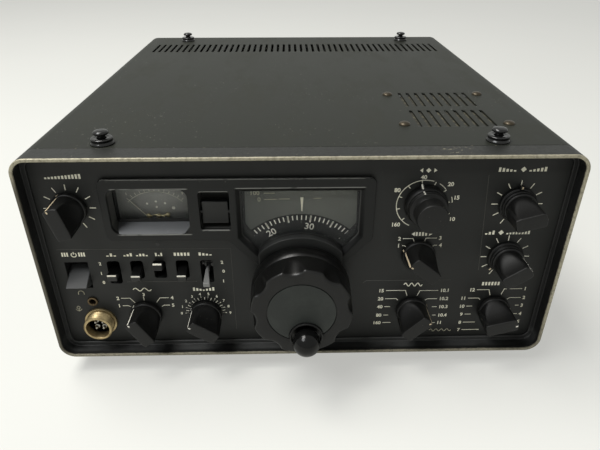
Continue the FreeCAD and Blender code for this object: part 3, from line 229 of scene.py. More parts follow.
# %% Metal of the front rim
def rim_metal():
    g = Graph("rim_metal")
    x, y, z = g.place(at(0, 0, 0))
    ragged = g.noise(3.5, 4, 0.65)
    bare = (y - ragged * 1.3).ramp(0.35, 0.05)
    outside = (abs(x) - 139.2).ramp(0.0, 0.3).high((z - 123.2).ramp(0.0, 0.3))
    scuffs = outside * g.noise(1.6, 4, 0.7).ramp(0.66, 0.70) * (y - 9.0).ramp(2.0, -4.0)
    top_patch = abs(x - 75.0).ramp(11.0, 3.0) * (z - 123.0).ramp(0.0, 0.5)
    rubbed = top_patch * g.noise(2.2, 5, 0.8).ramp(0.56, 0.63)
    # Darker towards the left and the bottom of the rim, set by place.
    left_side = (x + 134.0).ramp(2.0, -4.0) * (z - 112.0).ramp(6.0, -6.0)
    low_side = (z - 20.0).ramp(6.0, -6.0)
    grime_and_left_darkening = g.noise(1.8, 4, 0.7).ramp(0.44, 0.66).high(left_side)
    nicks = g.noise(1.4, 2).ramp(0.70, 0.74)
    # Painted highlight: the up-facing lower inner ledge of the rim is painted lighter, where light falls on it.
    ledge_highlight = (z - 11.0).ramp(1.5, -1.5) * (y - 3.0).ramp(-1.0, 1.0)
    ledge_highlight = ledge_highlight * g.noise(14, 3, 0.6, (0.5, 1, 1)).ramp(0.30, 0.62)
    paint = g.mix(ledge_highlight, (0.007, 0.007, 0.007), (0.045, 0.046, 0.045))
    paint = g.mix(outside, paint, (0.0085, 0.0090, 0.0078))
    metal = g.mix(g.noise(9, 4), (0.33, 0.30, 0.215), (0.42, 0.39, 0.30))
    metal = g.mix(grime_and_left_darkening * 0.55, metal, (0.13, 0.12, 0.09))
    metal = g.mix((left_side * 0.75).high(low_side * 0.40), metal, (0.05, 0.045, 0.035))
    metal = g.mix(nicks * 0.7, metal, (0.05, 0.045, 0.035))
    shown = bare.high(scuffs * 0.6).high(rubbed * 0.6)
    tone = g.mix(shown, paint, metal)
    rough = 0.46 + grime_and_left_darkening * 0.08 + g.noise(5, 2) * 0.08
    return g.finish(tone, rough, shown * 0.35, g.noise(1.2, 3), 0.14, Specular_IOR_Level=0.35)


# %% Panel and escutcheon
def panel_paint():
    g = Graph("panel_paint")
    z = g.place(at(0, 0, 0))[2]
    dust = g.noise(0.7, 1).ramp(0.72, 0.78) * g.noise(18, 2).ramp(0.48, 0.66)
    wiped = g.noise(30, 4, 0.6, (1.0, 1.0, 0.4)).ramp(0.40, 0.80)
    tone = g.mix(wiped, (0.0072, 0.0077, 0.0072), (0.0110, 0.0115, 0.0106))
    tone = g.mix(dust * 0.5, tone, (0.16, 0.155, 0.13))
    # Painted shadow: the panel darkens towards its top, where the rim's lip shades it.
    tone = g.mix((z - 110.5).ramp(-1.5, 3.0) * 0.75, tone, (0.0015, 0.0015, 0.0015))
    return g.finish(tone, 0.48 + wiped * 0.12, None, g.noise(0.5, 2), 0.12, 0.0001, Specular_IOR_Level=0.32)


def lips(x, z, centre, half_width, half_height, fade):
    """The upper and lower edges of an opening, fading out where its corners begin."""
    level = abs(abs(z - centre[1]) - half_height).ramp(0.42, 0.18)
    return level * abs(x - centre[0]).ramp(half_width, half_width - fade)


def bezel_plastic():
    g = Graph("bezel_plastic")
    x, y, z = g.place(at(0, 0, 0))
    around = ((x - DIAL_X) ** 2 + (z - DIAL_Z) ** 2) ** 0.5
    collar = (y - 6.2).ramp(0.1, -0.1).high((around - 30.7).ramp(-0.1, 0.1) * (31.2 - around).ramp(-0.1, 0.1))
    # Painted shade: the walls inside the windows and pockets, more than 7 mm deep, are darkened where the openings
    # shade them.
    recess_shade = (y - 7.0).ramp(0.0, 0.5)
    lines = g.noise(0.35, 2, 0.5, (0.02, 4.0, 0.02))
    dust = g.noise(0.9, 1).ramp(0.72, 0.77) * (z - 107.3).ramp(-0.6, 2.4)
    broken = g.noise(3.0, 4, 0.7, (0.4, 1.0, 1.0)).ramp(0.30, 0.48)
    # Lighter lips of the openings, the dial window's lip and the top edge: painted highlight where these edges catch
    # the light, with some wear.
    openings = lips(x, z, (-77.0, 91.55), 20.0, 13.15, 1.5).high(lips(x, z, (-44.86, 91.85), 7.6, 11.15, 1.0))
    dial_lip = abs(z - 104.85).ramp(0.40, 0.15) * abs(x - DIAL_X).ramp(33.5, 32.0)
    upper_edge_highlight = abs(z - 109.85).ramp(0.32, 0.12) * (y - 7.4).ramp(0.2, -0.2)
    # The collar's crest is a painted highlight along its top edge.
    crest_highlight = (around - 30.65).ramp(-0.15, 0.15) * (z - 70.0).ramp(0.0, 4.0)
    lightened = (openings.high(dial_lip) * (1.0 - recess_shade)).high(upper_edge_highlight) * broken
    lightened = lightened.high(crest_highlight * (y - 8.3).ramp(-0.2, 0.4) * 0.35)
    tone = g.mix(g.noise(25, 3), (0.0052, 0.0056, 0.0054), (0.0074, 0.0078, 0.0075))
    # The collar's top is painted lighter with its brushed streaks, and the lightening fades out below: painted light
    # on the top of the collar.
    tone = g.mix(collar * (0.3 + lines * 0.7) * (z - 66.0).ramp(0.0, 9.0), tone, (0.040, 0.041, 0.040))
    tone = g.mix(recess_shade, tone, (0.0035, 0.0035, 0.0035))
    tone = g.mix(dust * 0.5, tone, (0.14, 0.135, 0.115))
    # Painted highlight and wear on the edges.
    tone = g.mix(lightened * 0.80, tone, (0.24, 0.24, 0.225))
    return g.finish(tone, 0.44 - collar * 0.06 + g.noise(12, 3) * 0.1, None,
                    g.noise(0.5, 2) + collar * lines * 0.8, 0.10, 0.0001, Specular_IOR_Level=0.24)


cover = cover_paint()
rim = rim_metal()
panel = panel_paint()
bezel = bezel_plastic()
print("case finishes:", cover.name, rim.name, panel.name, bezel.name)

# %% [markdown]
# ## Plastics of the controls
# Moulded knobs are glossy on their flanks and matte on the face, where fingers
# have dulled them and left light scratches.  The face is found by its distance
# from the knob's front plane, so one function serves knobs of every height.

# %% Knobs, ball and levers
def grey(level, tint=(1.0, 1.0, 0.97)):
    """A grey of one level, a little warm unless a tint is given."""
    return tuple(min(1.0, level * part) for part in tint)


def knob_plastic(name, front, face_level=0.0062, flank_level=0.0028, rough=0.42):
    g = Graph(name)
    depth = g.place(at(0, front, 0))[1]
    face = (depth - 0.25).ramp(0.25, -0.1)
    scratch = g.noise(5.0, 5, 0.7, (1.0, 1.0, 0.25)).ramp(0.56, 0.68)
    dust = g.noise(0.8, 1).ramp(0.74, 0.79)
    flank = g.mix(g.noise(14, 3), grey(flank_level * 0.8), grey(flank_level * 1.2))
    matte = g.mix(scratch, grey(face_level), grey(face_level * 1.5))
    tone = g.mix(face, flank, matte)
    tone = g.mix(dust * 0.45, tone, (0.12, 0.115, 0.10))
    rough = rough + face * (0.50 - rough) + g.noise(7, 3) * 0.08
    return g.finish(tone, rough, None, g.noise(0.6, 3), 0.06, 0.0001, Specular_IOR_Level=0.27)


def smooth_plastic(name, level, rough, tint=(1.0, 1.0, 1.0), grain=0.6, bump=0.08, gloss=0.38):
    """Moulded plastic of one colour, with faint clouds, wear and dust."""
    g = Graph(name)
    tone = g.mix(g.noise(16, 4), grey(level * 0.86, tint), grey(level * 1.14, tint))
    lightened = g.noise(3.0, 5, 0.7).ramp(0.60, 0.74)
    tone = g.mix(lightened * 0.25, tone, tuple(part + 0.004 for part in grey(level * 1.8, tint)))
    rough = rough + lightened * 0.10 + g.noise(9, 2) * 0.05
    return g.finish(tone, rough, None, g.noise(grain, 3), bump, 0.0001, Specular_IOR_Level=gloss)


def inlay_plastic():
    g = Graph("inlay")
    x, _, z = g.place(at(DIAL_X, 0, DIAL_Z))
    radius = (x * x + z * z) ** 0.5
    rings = (radius * 9.0 + g.noise(6, 2) * 2.0).sine() * 0.5 + 0.5
    lightened = g.noise(10, 5, 0.7).ramp(0.45, 0.70)
    tone = g.mix(lightened, (0.0125, 0.0155, 0.0138), (0.0185, 0.0225, 0.0200))
    return g.finish(tone, 0.52 + rings * 0.08 - lightened * 0.06, None, rings * 0.5 + g.noise(0.6, 2) * 0.5,
                    0.10, 0.00005, Specular_IOR_Level=0.35)


single_plastic = knob_plastic("knob_single", -9.0)
round_plastic = knob_plastic("knob_round", -8.0, 0.0055, 0.0050)
pair_plastic = knob_plastic("knob_pair", -12.0)
main_plastic = knob_plastic("knob_main", -20.4, 0.0056, 0.0028, 0.27)
ring_plastic = knob_plastic("knob_ring", 2.6, 0.008)
inlay = inlay_plastic()
ball_plastic = smooth_plastic("ball_gloss", 0.0030, 0.12, grain=2.0, bump=0.03, gloss=0.2)
lever_black = smooth_plastic("lever_gloss", 0.0035, 0.30)
fastener_black = smooth_plastic("fastener_gloss", 0.008, 0.16)
bat_grey = smooth_plastic("bat_plastic", 0.20, 0.38, (1.0, 1.0, 0.98))
rocker_grey = smooth_plastic("rocker_plastic", 0.048, 0.48, (1.0, 1.02, 1.04))
pocket_grey = smooth_plastic("pocket_rocker", 0.0032, 0.32, gloss=0.30)
# Painted light: the meter's floor is pale grey to stand in for the lit clear shelf and the face it reflects.
well_floor = smooth_plastic("meter_floor_painted_light", 0.21, 0.55, (0.98, 1.0, 1.03))
dark_moulding = smooth_plastic("dark_moulding", 0.014, 0.50)
insert_black = smooth_plastic("insert_black", 0.010, 0.38)
rubber = smooth_plastic("rubber", 0.018, 0.78, grain=0.4, bump=0.3)
print("controls:", single_plastic.name, pair_plastic.name, main_plastic.name)

# %% [markdown]
# ## Bare metals
# Brass, nickel, zinc and aluminium differ in tint and in the scale of their
# marks.  One function writes them all: clouds of tarnish, fine scratches that
# run one way, and roughness that follows both.

# %% Metals
def metal(name, bright, dull, rough, stretch=(1.0, 1.0, 1.0), size=0.5, tarnish=0.5, bump=0.10, share=1.0):
    g = Graph(name)
    clouds = g.noise(7, 5, 0.65).ramp(0.35, 0.75)
    lines = g.noise(size, 3, 0.6, stretch)
    pits = g.noise(0.8, 2).ramp(0.70, 0.76)
    tone = g.mix(clouds * tarnish, bright, dull)
    tone = g.mix(pits * 0.5, tone, dull)
    return g.finish(tone, rough + clouds * 0.15 + lines * 0.10, None, lines, bump, 0.0001, Metallic=share)


brass = metal("mic_brass", (0.42, 0.33, 0.18), (0.13, 0.095, 0.05), 0.32, tarnish=0.85)
old_brass = metal("jack_brass", (0.13, 0.095, 0.055), (0.05, 0.036, 0.022), 0.38, tarnish=0.8)
pale_brass = metal("pale_brass", (0.86, 0.76, 0.48), (0.55, 0.46, 0.26), 0.30, tarnish=0.2)
pin_metal = metal("pin_metal", (0.34, 0.33, 0.30), (0.16, 0.15, 0.12), 0.30)
gear_brass = metal("gear_brass", (0.66, 0.50, 0.22), (0.42, 0.30, 0.12), 0.28)
nickel = metal("plated", (0.70, 0.69, 0.66), (0.40, 0.38, 0.34), 0.20)
zinc = metal("steel_sheet", (0.55, 0.55, 0.50), (0.38, 0.36, 0.30), 0.34, (1.0, 1.0, 0.1), 0.8)
satin = metal("aluminium_sheet", (0.58, 0.58, 0.56), (0.42, 0.42, 0.40), 0.36, (0.05, 1.0, 1.0), 0.5)
ground = metal("shaft_steel", (0.60, 0.60, 0.60), (0.45, 0.45, 0.44), 0.22, (1.0, 0.1, 1.0), 0.4)
needle_paint = metal("needle_paint", (0.72, 0.70, 0.60), (0.60, 0.56, 0.46), 0.40, share=0.0)
anodised = metal("sink_black", (0.030, 0.030, 0.032), (0.018, 0.018, 0.019), 0.42, (1.0, 1.0, 0.08), 0.5,
                 share=0.4)
screw_black = metal("screw_black", (0.045, 0.040, 0.032), (0.10, 0.075, 0.045), 0.30, share=0.7)
screw_brown = metal("screw_brown", (0.060, 0.048, 0.032), (0.022, 0.018, 0.013), 0.28, share=0.8)
speaker_black = metal("speaker_metal", (0.05, 0.05, 0.05), (0.03, 0.03, 0.03), 0.45, share=0.2)
print("metals:", brass.name, nickel.name, zinc.name, satin.name)

# %% [markdown]
# ## Print, glass, dial and board
# The legends are cream silk-screen ink, a little rubbed.  The dial has a grey
# mask in front of a matte black disc.  Behind the windows the mask, the disc and
# the meter's face carry a painted pool of light, lighter at one place and darker
# away from it, with streaks and dust specks; the pale floor under the meter's
# face is painted light.

# %% Flat finishes
def ink(name, tone, worn_share=0.3):
    g = Graph(name)
    rubbed = g.noise(1.2, 4, 0.7).ramp(0.52, 0.72)
    yellow = tuple(c * k for c, k in zip(tone, (1.0, 0.95, 0.80)))
    faded = tuple(c * 0.45 for c in tone)
    base = g.mix(g.noise(40, 2), tone, yellow)
    return g.finish(g.mix(rubbed * worn_share, base, faded), 0.55 + rubbed * 0.1)


def mask_paint(name, light, dark, origin, reach):
    """Matte paint, lighter at a place on it and darker with distance from it: a painted pool of light."""
    g = Graph(name)
    x, _, z = g.place(origin)
    away = ((x * x + z * z) ** 0.5 / reach).ramp(0.0, 1.0)
    streaks = g.noise(4.0, 4, 0.6, (1.0, 1.0, 0.3))
    dust = g.noise(0.8, 1).ramp(0.70, 0.76)
    tone = g.mix(away * 0.7 + streaks * 0.3, light, dark)
    tone = g.mix(dust * 0.3, tone, (0.30, 0.30, 0.26))
    return g.finish(tone, 0.60 + streaks * 0.1, None, g.noise(0.5, 2), 0.05, 0.00005)


def clear_pane():
    g = Graph("clear_pane")
    haze = g.noise(20, 4, 0.6).ramp(0.5, 0.8)
    dust = g.noise(0.6, 1).ramp(0.74, 0.78)
    g.feed(g.shader.inputs["Alpha"], 0.05 + haze * 0.03 + dust * 0.5)
    return g.finish(g.mix(dust, (0.10, 0.11, 0.11), (0.6, 0.6, 0.56)), 0.05 + haze * 0.06)


def board_epoxy():
    g = Graph("board_epoxy")
    tracks = (g.cell_edges(6.0) - 0.08).ramp(0.01, -0.01)
    tone = g.mix(tracks, (0.035, 0.085, 0.035), (0.07, 0.16, 0.06))
    return g.finish(tone, 0.38 + g.noise(6, 3) * 0.1, None, tracks, 0.2, 0.0001)


def cloth(name, dark, light, size, rough=0.9):
    """Woven stuff: two sets of threads that cross, with dust between them."""
    g = Graph(name)
    x, y, _ = g.place(at(0, 0, 0))
    pitch = 2 * math.pi / size
    weave = (x * pitch).sine() * (y * pitch).sine() * 0.5 + 0.5
    lumps = g.noise(4.5, 4, 0.65).ramp(0.45, 0.62)
    tone = g.mix(weave * 0.4 + lumps * 0.6, dark, light)
    return g.finish(tone, rough - lumps * 0.2, None, weave + lumps, 0.5, 0.0003)


cream = ink("legend_cream", (0.84, 0.83, 0.74), 0.25)
dull_cream = ink("legend_dull", (0.38, 0.37, 0.30), 0.4)
faint = ink("legend_faint", (0.045, 0.045, 0.042))
white_paint = ink("index_white", (0.90, 0.89, 0.85), 0.08)
index_pale = ink("index_pale", (0.62, 0.52, 0.38), 0.2)
dial_ink = ink("dial_ink", (0.95, 0.95, 0.92), 0.08)
meter_ink = ink("meter_ink", (0.70, 0.70, 0.62), 0.3)
mask_grey = mask_paint("mask_grey", (0.135, 0.138, 0.122), (0.075, 0.078, 0.070), at(8, 12, 98), 40.0)
dial_black = mask_paint("dial_black", (0.016, 0.016, 0.016), (0.010, 0.010, 0.010), at(0, 12, 46), 60.0)
meter_face = mask_paint("meter_face", (0.42, 0.42, 0.40), (0.14, 0.143, 0.135), at(-76, 21, 88), 26.0)
pane = clear_pane()
board = board_epoxy()
grille = cloth("grille_cloth", (0.004, 0.004, 0.0035), (0.085, 0.077, 0.048), 1.2)
paper = cloth("cone_paper", (0.030, 0.027, 0.024), (0.050, 0.045, 0.038), 0.8)
print("print and dial:", cream.name, mask_grey.name, meter_face.name, pane.name)

# %% [markdown]
# ## Ways to make a piece
# Round parts are turned on a lathe: a profile of radius and place along the
# axis.  Parts with rule-bound edges start from a merged copy of their CAD mesh,
# whose flat faces are joined again, so that a bevel rounds every sharp edge.
# Each finished mesh has its place in its points, and its object stays at zero.

# %% Objects, smoothness and joining
def shown(name, data):
    """A new object in the scene."""
    made = bpy.data.objects.new(name, data)
    bpy.context.scene.collection.objects.link(made)
    return made


def coat(mesh, material):
    """Give a mesh one material."""
    mesh.materials.clear()
    mesh.materials.append(material)


def piece(name, mesh, material, body, slot, *replaced):
    """Name a finished mesh, give it its finish, and fix it to a body of the frame."""
    mesh.name = name
    made = shown(name, mesh)
    if material is not None:
        coat(mesh, material)
    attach(made, body)
    if replaced:
        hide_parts(*replaced)
    print(f"{name}: {len(mesh.polygons)} faces on {body}")
    return made


def softened(mesh, angle=35.0):
    """Smooth shading, with creases where faces meet at more than an angle."""
    mesh.shade_smooth()
    mesh.set_sharp_from_angle(angle=math.radians(angle))
    return mesh


def finished(work, name, outward=True):
    """The mesh of a bmesh, with its faces turned outward."""
    if outward:
        bmesh.ops.recalc_face_normals(work, faces=work.faces)
    made = bpy.data.meshes.new(name)
    work.to_mesh(made)
    work.free()
    return made


def joined(meshes):
    """One mesh from several, which are then removed; each keeps its materials."""
    work = bmesh.new()
    finishes = []
    for mesh in meshes:
        first = len(work.faces)
        work.from_mesh(mesh)
        work.faces.ensure_lookup_table()
        own = list(mesh.materials)
        finishes += [material for material in own if material not in finishes]
        for face in work.faces[first:] if own else []:
            face.material_index = finishes.index(own[min(face.material_index, len(own) - 1)])
        bpy.data.meshes.remove(mesh)
    made = finished(work, "joined", outward=False)
    for material in finishes:
        made.materials.append(material)
    return made


def evaluated(mesh, kind, inputs=None, **settings):
    """The mesh that one modifier makes of a mesh."""
    holder = shown("holder", mesh)
    modifier = holder.modifiers.new("step", kind)
    for key, value in settings.items():
        setattr(modifier, key, value)
    for key, value in (inputs or {}).items():
        modifier[key] = value
    graph = bpy.context.evaluated_depsgraph_get()
    made = bpy.data.meshes.new_from_object(holder.evaluated_get(graph))
    bpy.data.objects.remove(holder)
    bpy.data.meshes.remove(mesh)
    return made


def bevelled(mesh, width, steps=3, **settings):
    return evaluated(mesh, "BEVEL", width=width * MM, segments=steps, **settings)


def without(mesh, tool):
    """The mesh with a closed tool cut out of it."""
    cutter = shown("cutter", tool)
    made = evaluated(mesh, "BOOLEAN", operation="DIFFERENCE", solver="EXACT", object=cutter)
    bpy.data.objects.remove(cutter)
    bpy.data.meshes.remove(tool)
    return made


# %% Rings of points, and the skin between them
SPOT_ON = {"x": lambda a, b, along: at(along, a, b), "y": lambda a, b, along: at(a, along, b),
           "z": lambda a, b, along: at(a, b, along), "origin": lambda a, b, along: Vector((a, b, along)) * MM}


def ring_of(work, centre, along, radius, steps, axis="y", start=0.0):
    """Points round an axis, or one point on it.  The radius may follow from the angle in degrees."""
    points = []
    for k in range(steps if callable(radius) or radius > 1e-6 else 1):
        angle = 360.0 * k / steps
        reach = radius(angle) if callable(radius) else radius
        points.append(work.verts.new(SPOT_ON[axis](*polar(*centre, reach, angle + start), along)))
    return points


def skin(work, rings):
    """Faces between each ring and the next."""
    for low, high in zip(rings, rings[1:]):
        steps = max(len(low), len(high))
        for k in range(steps):
            m = (k + 1) % steps
            corners = dict.fromkeys((low[k % len(low)], low[m % len(low)],
                                     high[m % len(high)], high[k % len(high)]))
            if len(corners) > 2:
                work.faces.new(list(corners))


def lathe(profile, centre, axis="y", steps=72):
    """Turn (radius, place along the axis) points about an axis, closed at both ends."""
    work = bmesh.new()
    rings = [ring_of(work, centre, along, radius, steps, axis) for radius, along in profile]
    skin(work, rings)
    for ring in (rings[0], rings[-1]):
        if len(ring) > 1:
            work.faces.new(ring)
    return softened(finished(work, "turned"))


def rounded(points, radius=0.4, steps=4):
    """A profile whose corners are rounded by small arcs."""
    done = [points[0]]
    for before, here, after in zip(points, points[1:], points[2:]):
        p, q, r = Vector(before), Vector(here), Vector(after)
        reach = min(radius, (p - q).length * 0.45, (r - q).length * 0.45)
        start, end = q + (p - q).normalized() * reach, q + (r - q).normalized() * reach
        for k in range(steps + 1):
            t = k / steps
            done.append(tuple(start * (1 - t) ** 2 + q * (2 * t * (1 - t)) + end * t ** 2))
    return done + [points[-1]]


print("a right angle is rounded in", len(rounded([(0, 0), (1, 0), (1, 1)], 0.2)) - 2, "points")

# %% Copies of CAD meshes, bars and plates
def dressed(node, width, steps=3):
    """A merged copy of a CAD mesh, its flat faces joined, with a bevel on its sharp edges."""
    work = bmesh.new()
    work.from_mesh(nodes[node].data)
    bmesh.ops.remove_doubles(work, verts=work.verts, dist=2e-6)
    bmesh.ops.dissolve_limit(work, angle_limit=math.radians(0.6), verts=work.verts, edges=work.edges)
    bmesh.ops.triangulate(work, faces=[face for face in work.faces if len(face.verts) > 4])
    made = bevelled(finished(work, "merged", outward=False), width, steps, limit_method="ANGLE", loop_slide=False,
                    angle_limit=math.radians(32.0), use_clamp_overlap=False, miter_outer="MITER_ARC")
    return evaluated(softened(made, 38.0), "WEIGHTED_NORMAL", keep_sharp=True)


def dress(*rows):
    """Put dressed copies on the case: (piece, node, bevel, steps, finish, slot)."""
    for name, node, width, steps, material, slot in rows:
        made = piece(name, dressed(node, width, steps), material, "case", slot, node)
        print(name, len(made.data.polygons), "faces")


def coat_nodes(**finishes):
    """Give CAD nodes that stay as they are their finishes."""
    for node, material in finishes.items():
        coat(nodes[node].data, material)


def spun(mesh, x, z, angle):
    """Turn a mesh about an axis along Y, counted as seen from the front."""
    centre = at(x, 0, z)
    turn = Matrix.Rotation(math.radians(-angle), 4, "Y")
    mesh.transform(Matrix.Translation(centre) @ turn @ Matrix.Translation(-centre))
    return mesh


def box_mesh(x0, x1, y0, y1, z0, z1):
    """A bar between two places."""
    work = bmesh.new()
    bmesh.ops.create_cube(work, size=1.0)
    low, high = at(x0, y0, z0), at(x1, y1, z1)
    size = Matrix.Diagonal((*(high - low), 1.0))
    bmesh.ops.transform(work, matrix=Matrix.Translation((low + high) / 2) @ size, verts=work.verts)
    return finished(work, "bar", outward=False)


def slab(work, first, last):
    """The faces of a solid between two facing outlines of points."""
    work.faces.new(first)
    work.faces.new(last[::-1])
    for k in range(len(first)):
        m = (k + 1) % len(first)
        work.faces.new((first[m], first[k], last[k], last[m]))


def plates(outlines, y0, y1, material=None):
    """Flat plates between two depths, from closed (x, z) outlines."""
    work = bmesh.new()
    for outline in outlines:
        slab(work, *([work.verts.new(at(x, y, z)) for x, z in outline] for y in (y0, y1)))
    made = finished(work, "plates")
    if material is not None:
        coat(made, material)
    return made


def rail(section, x0, x1):
    """A bar along X, from a closed (y, z) section."""
    work = bmesh.new()
    slab(work, *([work.verts.new(at(x, y, z)) for y, z in section] for x in (x0, x1)))
    return finished(work, "rail")


print("ways: lathe, dressed copy, bars, plates")

# %% [markdown]
# ## Geometry Nodes for marks and lines
# A scale is a rule: so many marks, so many degrees apart, from one radius to
# another.  A leader line follows a path.  Both are built as node trees with
# named inputs, and each result is turned into a plain mesh.

# %% Trees
class Tree(Network):
    """A Geometry Nodes tree with named inputs."""
    def __init__(self, name, **inputs):
        self.group = bpy.data.node_groups.new(name, "GeometryNodeTree")
        super().__init__(self.group)
        kinds = {float: "NodeSocketFloat", int: "NodeSocketInt", tuple: "NodeSocketVector"}
        sockets = self.group.interface
        sockets.new_socket("Geometry", in_out="INPUT", socket_type="NodeSocketGeometry")
        for key, value in inputs.items():
            made = sockets.new_socket(key, in_out="INPUT", socket_type=kinds[type(value)])
            made.default_value = value
        sockets.new_socket("Material", in_out="INPUT", socket_type="NodeSocketMaterial")
        sockets.new_socket("Geometry", in_out="OUTPUT", socket_type="NodeSocketGeometry")
        self.given = self.group.nodes.new("NodeGroupInput").outputs

    def value(self, key):
        return Value(self, self.given[key])

    def xyz(self, **parts):
        return self.node("ShaderNodeCombineXYZ", parts).outputs[0]

    def end(self, geometry):
        real = self.node("GeometryNodeRealizeInstances", {"Geometry": geometry})
        coated = self.node("GeometryNodeSetMaterial", {"Geometry": real.outputs[0],
                                                       "Material": self.given["Material"]})
        self.node("NodeGroupOutput", {"Geometry": coated.outputs[0]})
        return self

    def run(self, material, mesh=None, **values):
        """The plain mesh that the tree makes with these inputs."""
        found = {item.name: item.identifier for item in self.group.interface.items_tree
                 if item.in_out == "INPUT"}
        inputs = {found[key]: value for key, value in {"Material": material, **values}.items()}
        made = evaluated(mesh or bpy.data.meshes.new("start"), "NODES", inputs, node_group=self.group)
        coat(made, material)
        made.polygons.foreach_set("material_index", [0] * len(made.polygons))
        return made


# %% A ring of marks
def mark_ring_tree():
    tree = Tree("ring_of_marks", Count=11, First=0.0, Step=0.5236, Inner=0.0094, Outer=0.0133,
                Width=0.0004, Thickness=0.00006, Centre=(0.0, 0.0, 0.0))
    points = tree.node("GeometryNodeMeshLine", {"Count": tree.given["Count"], "Offset": (0, 0, 0)})
    index = Value(tree, tree.node("GeometryNodeInputIndex").outputs[0])
    turn = tree.value("First") + index * tree.value("Step")
    middle = (tree.value("Inner") + tree.value("Outer")) * 0.5
    length = tree.value("Outer") - tree.value("Inner")
    away = tree.xyz(X=tree.math("COSINE", turn) * middle, Z=turn.sine() * middle)
    spot = tree.node("ShaderNodeVectorMath", {0: away, 1: tree.given["Centre"]}, operation="ADD")
    placed = tree.node("GeometryNodeSetPosition", {"Geometry": points.outputs[0], "Position": spot.outputs[0]})
    size = tree.xyz(X=length, Y=tree.given["Thickness"], Z=tree.given["Width"])
    bar = tree.node("GeometryNodeMeshCube", {"Size": size})
    copies = tree.node("GeometryNodeInstanceOnPoints", {
        "Points": placed.outputs[0], "Instance": bar.outputs[0], "Rotation": tree.xyz(Y=-turn)})
    return tree.end(copies.outputs[0])


mark_ring = mark_ring_tree()


def marks(x, y, z, first, step, count, inner, outer, width, material=None, thickness=0.06):
    """Marks round a centre, with angles in degrees and sizes in millimetres."""
    return mark_ring.run(material or cream, Count=count, First=math.radians(first), Step=math.radians(step),
                         Inner=inner * MM, Outer=outer * MM, Width=width * MM,
                         Thickness=thickness * MM, Centre=tuple(at(x, y, z)))


print("nodes in the tree for marks:", len(mark_ring.tree.nodes))

# %% A printed line
def line_tree():
    tree = Tree("printed_line", Width=0.0003, Flat=0.2)
    path = tree.node("GeometryNodeMeshToCurve", {"Mesh": tree.given["Geometry"]})
    profile = tree.node("GeometryNodeCurvePrimitiveCircle", {"Resolution": 6, "Radius": tree.value("Width") * 0.5})
    tube = tree.node("GeometryNodeCurveToMesh", {"Curve": path.outputs[0], "Profile Curve": profile.outputs[0],
                                                 "Fill Caps": True})
    flat = tree.node("GeometryNodeTransform", {"Geometry": tube.outputs[0],
                                               "Scale": tree.xyz(X=1.0, Y=tree.given["Flat"], Z=1.0)})
    return tree.end(flat.outputs[0])


line_maker = line_tree()


def lines(paths, y, width=0.45, material=None):
    """Flat printed lines along (x, z) paths on the plane at y."""
    corners, edges = [], []
    for path in paths:
        start = len(corners)
        corners += [Vector((x * MM, 0.0, z * MM)) for x, z in path]
        edges += [(k, k + 1) for k in range(start, len(corners) - 1)]
    wires = bpy.data.meshes.new("wires")
    wires.from_pydata(corners, edges, [])
    made = line_maker.run(material or cream, wires, Width=width * MM, Flat=0.12 / max(width, 0.12))
    made.transform(Matrix.Translation(at(0, y, 0)))
    return made


print("nodes in the tree for lines:", len(line_maker.tree.nodes))

# %% Numbers and arcs
def number(text, x, y, z, height, turn=0.0, material=None, bold=0.02, align="CENTER"):
    """A printed number beside or on (x, z), made a mesh before it is put in its place."""
    curve = bpy.data.curves.new("number", "FONT")
    curve.body = text
    curve.size = height * MM / 0.70
    curve.align_x = align
    curve.offset = bold * height * MM
    curve.extrude = 0.03 * MM
    curve.resolution_u = 3
    holder = shown("number", curve)
    graph = bpy.context.evaluated_depsgraph_get()
    mesh = bpy.data.meshes.new_from_object(holder.evaluated_get(graph))
    bpy.data.objects.remove(holder)
    bpy.data.curves.remove(curve)
    mesh.transform(Matrix.Rotation(math.radians(90), 4, "X") @ Matrix.Translation((0, -height * MM / 2, 0)))
    mesh.transform(Matrix.Translation(at(x, y, z)) @ Matrix.Rotation(math.radians(-turn), 4, "Y"))
    coat(mesh, material or cream)
    return mesh


def arc(x, z, radius, start, end, steps=24):
    """Points on an arc, with angles in degrees as seen from the front."""
    return [polar(x, z, radius, start + (end - start) * k / steps) for k in range(steps + 1)]


print("a number has", len(number("20", 0, 0, 0, 3).vertices), "points")

# %% [markdown]
# ## Case, covers and escutcheon
# The rim, the escutcheon and the covers keep their CAD shape.  The real edges
# are cast or bent, never knife sharp, and a rounded edge is what catches the
# light, so copies with small bevels replace the nodes.

# %% Rim, escutcheon, covers
dress(("case_rim", "front_frame", 0.5, 3, rim, "rim_metal"),
      ("dial_trim", "dial_escutcheon", 0.4, 3, bezel, "bezel_plastic"),
      ("control_panel", "front_panel", 0.15, 2, panel, "panel_paint"),
      ("cover_top", "top_cover", 0.25, 2, cover, "cover_paint"),
      ("cover_bottom", "bottom_cover", 0.25, 2, cover, "cover_paint"))

# %% [markdown]
# ## The main knob
# Eight finger scallops run into the front of the big knob and end at a step.
# Its radius is a rule of the angle and the depth, so the mesh is computed: at
# each place the radius is the smaller of the round body and the cut, blended a
# little so that the crest is soft.  Behind the step the flank is plain and turned.

# %% Radius of the scalloped flank
FACE, BACK = -20.4, 2.0
TURNED, SHOULDER = -6.8, 8.0
FRONT_RADIUS, BACK_RADIUS = 26.5, 26.9
AXIS_ANGLE = 279.0
CUT_RADIUS, CUT_DEPTH, CUT_LENGTH, CUT_BLEND = 9.0, 2.7, 10.5, 0.45


def blended_low(a, b, blend):
    """The smaller of two lengths, with a round corner where they meet."""
    share = max(0.0, min(1.0, 0.5 + 0.5 * (b - a) / blend))
    return b * (1 - share) + a * share - blend * share * (1 - share)


